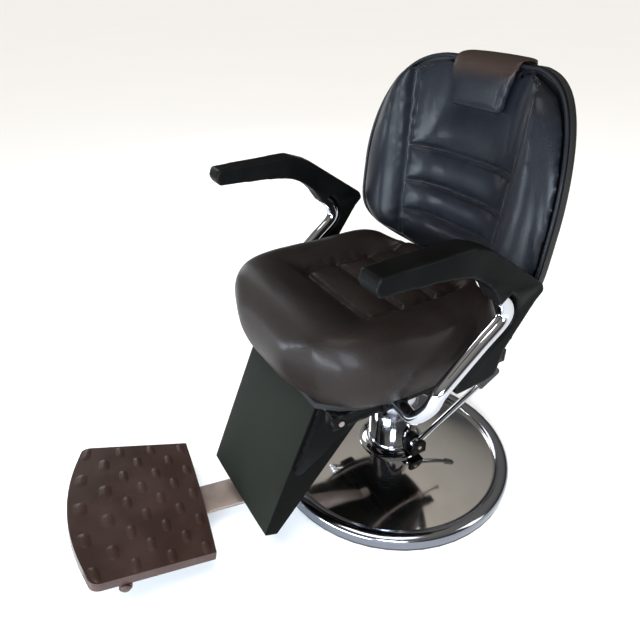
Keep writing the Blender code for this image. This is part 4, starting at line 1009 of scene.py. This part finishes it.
# Base and pump
def make_base():
    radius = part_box("base_shell")[1].x
    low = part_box("base_shell")[0].z
    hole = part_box("pump_housing")[1].x + SHELL_WALL
    gutter = radius - RIM_WIDTH
    rim = radius - RIM_WIDTH / 2
    steps = 24

    def skin(wall):
        """The dish's profile from its hole to its rim, some way inside its outer face."""
        dome = []
        for i in range(steps + 1):
            t = i / steps
            height = GUTTER_HEIGHT + (DOME_HEIGHT - GUTTER_HEIGHT) * math.cos(t * math.pi / 2)
            dome.append((hole + (gutter - hole) * t, height - wall))
        roll = []
        for i in range(1 if wall == 0 else 0, steps + 1):
            angle = math.pi * (1 - i / steps)
            roll.append((rim + (RIM_WIDTH / 2 - wall) * math.cos(angle),
                         GUTTER_HEIGHT + (RIM_HEIGHT - GUTTER_HEIGHT - wall) * math.sin(angle)))
        return dome + roll + [(radius - wall, low)]

    stand_in("base_shell", as_mesh(turned(skin(0) + skin(SHELL_WALL)[::-1])), DISH_CHROME, sharp=60)


def rounded_top(radius, height):
    """Profile points round the top edge of a turned piece."""
    middle_x = radius - TOP_ROUND
    middle_z = height - TOP_ROUND
    turns = [math.pi / 2 * i / 6 for i in range(7)]
    return [(middle_x + TOP_ROUND * math.cos(turn), middle_z + TOP_ROUND * math.sin(turn)) for turn in turns]


def make_pump():
    low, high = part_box("pump_housing")
    radius = high.x
    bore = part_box("pump_ram")[1].x + RUNNING_GAP
    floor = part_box("pump_ram")[0].z - RAM_REST
    profile = [(0, low.z), (radius, low.z)] + rounded_top(radius, high.z)
    profile += [(bore, high.z), (bore, floor), (0, floor)]
    stand_in("pump_housing", as_mesh(turned(profile)), sharp=40)

    low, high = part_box("base_flange")
    inner = radius + RUNNING_GAP
    outer = high.x
    tall = high.z - low.z
    profile = [(inner, low.z), (outer, low.z)]
    for i in range(11):
        rise = FLANGE_EDGE + (1 - FLANGE_EDGE) * (i / 10) ** 2
        profile.append((outer - (outer - inner - FLANGE_LIP) * i / 10, low.z + tall * rise))
    stand_in("base_flange", as_mesh(turned(profile + [(inner, high.z)])), sharp=40)

    low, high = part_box("pump_collar")
    profile = [(bore, low.z), (high.x, low.z)] + rounded_top(high.x, high.z) + [(bore, high.z)]
    stand_in("pump_collar", as_mesh(turned(profile, 64)))


def make_foot_lever():
    ends = [LEVER_AXES @ Vector((0, along, 0)) for along in (LEVER_START, LEVER_END)]
    stand_in("foot_lever", tube(ends, LEVER_RADIUS, 8))
    profile = [(0, 0), (PEDAL_RADIUS * 0.72, 0)]
    step = 0.85 * PEDAL_LENGTH / PEDAL_RINGS
    for i in range(PEDAL_RINGS):
        at = PEDAL_LENGTH * (0.05 + 0.85 * i / PEDAL_RINGS)
        profile += [(PEDAL_RADIUS * 0.90, at), (PEDAL_RADIUS, at + 0.25 * step)]
        profile += [(PEDAL_RADIUS, at + 0.6 * step), (PEDAL_RADIUS * 0.90, at + 0.8 * step)]
    profile += [(PEDAL_RADIUS * 0.95, 0.93 * PEDAL_LENGTH), (PEDAL_RADIUS * 0.7, PEDAL_LENGTH)]
    profile.append((0, PEDAL_LENGTH))
    turn = LEVER_AXES @ Matrix.Translation((0, PEDAL_START, 0)) @ Matrix.Rotation(-math.pi / 2, 4, "X")
    stand_in("pedal_sleeve", as_mesh(turned(profile, 40), turn))


# Footplate
def plate_half(y):
    """Half of the footplate's width, with its front corners rounded."""
    share = (y + PLATE_FRONT) / (PLATE_REAR + PLATE_FRONT)
    corner = max(0.0, 1 - (y + PLATE_FRONT) / PLATE_CORNER)
    drawn = PLATE_CORNER * (1 - math.sqrt(max(0.0, 1 - corner ** 2)))
    return PLATE_HALF_FRONT + (PLATE_HALF_REAR - PLATE_HALF_FRONT) * share - 0.8 * drawn


def plate_point(share, y):
    """A place on the footplate, with its front and rear edges bowed."""
    ahead = -y * PLATE_BOW / PLATE_FRONT if y < 0 else -y * PLATE_REAR_BOW / PLATE_REAR
    return share * plate_half(y), y - ahead * (1 - share ** 2)


def stud_height(share, y):
    """Oval studs on every other field of the bands, staggered from band to band."""
    across = (share + 1) / 2 * STUD_COLUMNS
    along = (y + PLATE_FRONT) / (PLATE_REAR + PLATE_FRONT) * STUD_BANDS
    column = min(STUD_COLUMNS - 1, int(across))
    band = min(STUD_BANDS - 1, int(along))
    if (column + band) % 2:
        return 0.0
    aside = (across - column - 0.5) * 2 / STUD_SHARE
    ahead = (along - band - 0.5) * (PLATE_REAR + PLATE_FRONT) / STUD_BANDS / STUD_HALF_Y
    return STUD_RISE * max(0.0, 1 - (aside ** 4 + ahead ** 2))


def plate_slab(low, high, columns, rows, studs=False, trough=False):
    """A slab with the footplate's outline, with studs on its top or a trough for the sleeve below."""
    bm = bmesh.new()
    bmesh.ops.create_grid(bm, x_segments=columns, y_segments=rows, size=1)
    grown = bmesh.ops.extrude_face_region(bm, geom=bm.faces[:])["geom"]
    top = {item for item in grown if isinstance(item, bmesh.types.BMVert)}
    for vert in bm.verts:
        share = vert.co.x
        along = -PLATE_FRONT + (vert.co.y + 1) / 2 * (PLATE_REAR + PLATE_FRONT)
        rise = stud_height(share, along) if studs and vert in top else 0.0
        x, y = plate_point(share, along)
        height = high if vert in top else low
        if trough and vert not in top and abs(x) < TROUGH_HALF:
            height = max(low, math.sqrt(max(0.0, TROUGH_RADIUS ** 2 - y ** 2)))
        vert.co = (x, y, height + rise)
    return bm


def make_footplate():
    top = PLATE_DROP + TRAY_THICK
    bm = plate_slab(top + TREAD_GAP, top + TREAD_THICK, *TREAD_GRID, studs=True)
    round_edges(bm, 80, TREAD_EDGE, 3)
    stand_in("foot_tread", as_mesh(bm, PLATE_AXES), sharp=60)
    bm = plate_slab(PLATE_DROP, top, *TRAY_GRID, trough=True)
    round_edges(bm, 80, TRAY_EDGE, 4)
    stand_in("footplate_tray", as_mesh(bm, PLATE_AXES), sharp=60)


# Other metal
def soften_hardware():
    for node, width in ROUNDED_EDGES.items():
        stand_in(node, softened(node, width), sharp=35)


# Screws
def screw_head(place, out, radius):
    """A round head with a socket, standing on a surface that faces out."""
    high = 0.55 * radius
    socket = [(0, 0.4 * high), (0.45 * radius, 0.4 * high), (0.45 * radius, high)]
    crown = [(0.80 * radius, 0.8 * high), (radius, 0.3 * high), (radius, 0), (0, 0)]
    turn = out.to_track_quat("Z", "Y").to_matrix().to_4x4()
    return as_mesh(turned(socket + crown, 12), Matrix.Translation(place) @ turn)


def screwed(node, starts, toward, radius=SCREW_RADIUS):
    """Screw heads on a plate, where lines from some points meet it."""
    tree = ray_tree(NODES[node].data)
    heads = bmesh.new()
    for start in starts:
        place, normal, _, _ = tree.ray_cast(Vector(start), Vector(toward))
        head = screw_head(place + normal * HEAD_GAP, normal, radius)
        heads.from_mesh(head)
        bpy.data.meshes.remove(head)
    piece(node + "_screws", as_mesh(heads), body_of(node), FINISHES["black_steel"],
          sharp=35)


def make_screws():
    for side, name in SIDES:
        for plate, places in (("arm_bracket_", ARM_BRACKET_SCREWS), ("back_arm_", BACK_ARM_SCREWS)):
            screwed(plate + name, [(side * FAR_OUT, y, z) for y, z in places], (-side, 0, 0))
    low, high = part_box("headrest_guide")
    heights = [low.z + share * (high.z - low.z) for share in GUIDE_SCREW_SHARES]
    starts = [(x, FAR_OUT, z) for x in (-GUIDE_SCREW_X, GUIDE_SCREW_X) for z in heights]
    screwed("headrest_guide", starts, (0, -1, 0), GUIDE_SCREW_RADIUS)
    starts = []
    for i in range(FLANGE_SCREWS):
        turn = math.radians(FLANGE_SCREW_START + 360 / FLANGE_SCREWS * i)
        starts.append((FLANGE_SCREW_RING * math.cos(turn), FLANGE_SCREW_RING * math.sin(turn), FAR_OUT))
    screwed("base_flange", starts, (0, 0, -1))


# Stage
def make_stage():
    bm = bmesh.new()
    bmesh.ops.create_grid(bm, x_segments=1, y_segments=1, size=FLOOR_HALF)
    mesh = bpy.data.meshes.new("floor")
    bm.to_mesh(mesh)
    bm.free()
    finish = Finish("floor", Roughness=0.65, Specular_IOR_Level=0.2)
    finish.feed(Base_Color=finish.mix(finish.cloud(0.6, 2.0), (0.75, 0.75, 0.75), (0.77, 0.77, 0.77)))
    mesh.materials.append(finish.material)
    floor = bpy.data.objects.new("floor", mesh)
    bpy.context.scene.collection.objects.link(floor)


def lamp(name, kind, place, aim, power, colour, **settings):
    light = bpy.data.lights.new(name, kind)
    light.energy = power
    light.color = colour
    for setting, value in settings.items():
        setattr(light, setting, value)
    made = bpy.data.objects.new(name, light)
    made.location = place
    made.rotation_mode = "QUATERNION"
    made.rotation_quaternion = (Vector(aim) - Vector(place)).to_track_quat("-Z", "Y")
    bpy.context.scene.collection.objects.link(made)


def make_lights():
    lamp("ceiling", "SUN", (0.5, -0.8, 4.0), (0, 0, 0), 2.9, (1.0, 0.985, 0.96), angle=math.radians(40))
    for name, place, aim, power, colour, (wide, tall) in AREA_LAMPS:
        lamp(name, "AREA", place, aim, power, colour, shape="RECTANGLE", size=wide, size_y=tall)
    world = bpy.data.worlds.new("studio")
    bpy.context.scene.world = world
    world.use_nodes = True
    tree = world.node_tree
    place = tree.nodes.new("ShaderNodeTexCoord")
    split = tree.nodes.new("ShaderNodeSeparateXYZ")
    ramp = tree.nodes.new("ShaderNodeValToRGB")
    tree.links.new(place.outputs["Generated"], split.inputs[0])
    tree.links.new(split.outputs["Z"], ramp.inputs[0])
    stops = ramp.color_ramp.elements
    stops[0].color = ROOM_LOW
    stops[1].color = ROOM_HIGH
    for height, colour in ROOM_BETWEEN:
        stops.new(height).color = colour
    room = tree.nodes["Background"]
    tree.links.new(ramp.outputs[0], room.inputs["Color"])
    backdrop = tree.nodes.new("ShaderNodeBackground")
    backdrop.inputs["Color"].default_value = BACKDROP
    sight = tree.nodes.new("ShaderNodeLightPath")
    choice = tree.nodes.new("ShaderNodeMixShader")
    tree.links.new(sight.outputs["Is Camera Ray"], choice.inputs[0])
    tree.links.new(room.outputs[0], choice.inputs[1])
    tree.links.new(backdrop.outputs[0], choice.inputs[2])
    tree.links.new(choice.outputs[0], tree.nodes["World Output"].inputs["Surface"])


def make_camera():
    forward = Vector((-math.sin(LOOK_TURN) * math.cos(LOOK_DOWN), math.cos(LOOK_TURN) * math.cos(LOOK_DOWN),
                      -math.sin(LOOK_DOWN)))
    lens = bpy.data.cameras.new("camera")
    lens.sensor_width = SENSOR
    lens.lens = FOCAL_SHARE * SENSOR
    camera = bpy.data.objects.new("camera", lens)
    camera.location = EYE
    camera.rotation_mode = "QUATERNION"
    camera.rotation_quaternion = forward.to_track_quat("-Z", "Y")
    bpy.context.scene.collection.objects.link(camera)
    bpy.context.scene.camera = camera
    bpy.context.scene.view_settings.view_transform = "Standard"


dress_cad_nodes()
make_camera()
make_stage()
make_lights()
make_seat()
make_back()
make_shell()
make_headrest()
make_legrest()
make_arms()
make_base()
make_pump()
make_foot_lever()
make_footplate()
soften_hardware()
make_screws()
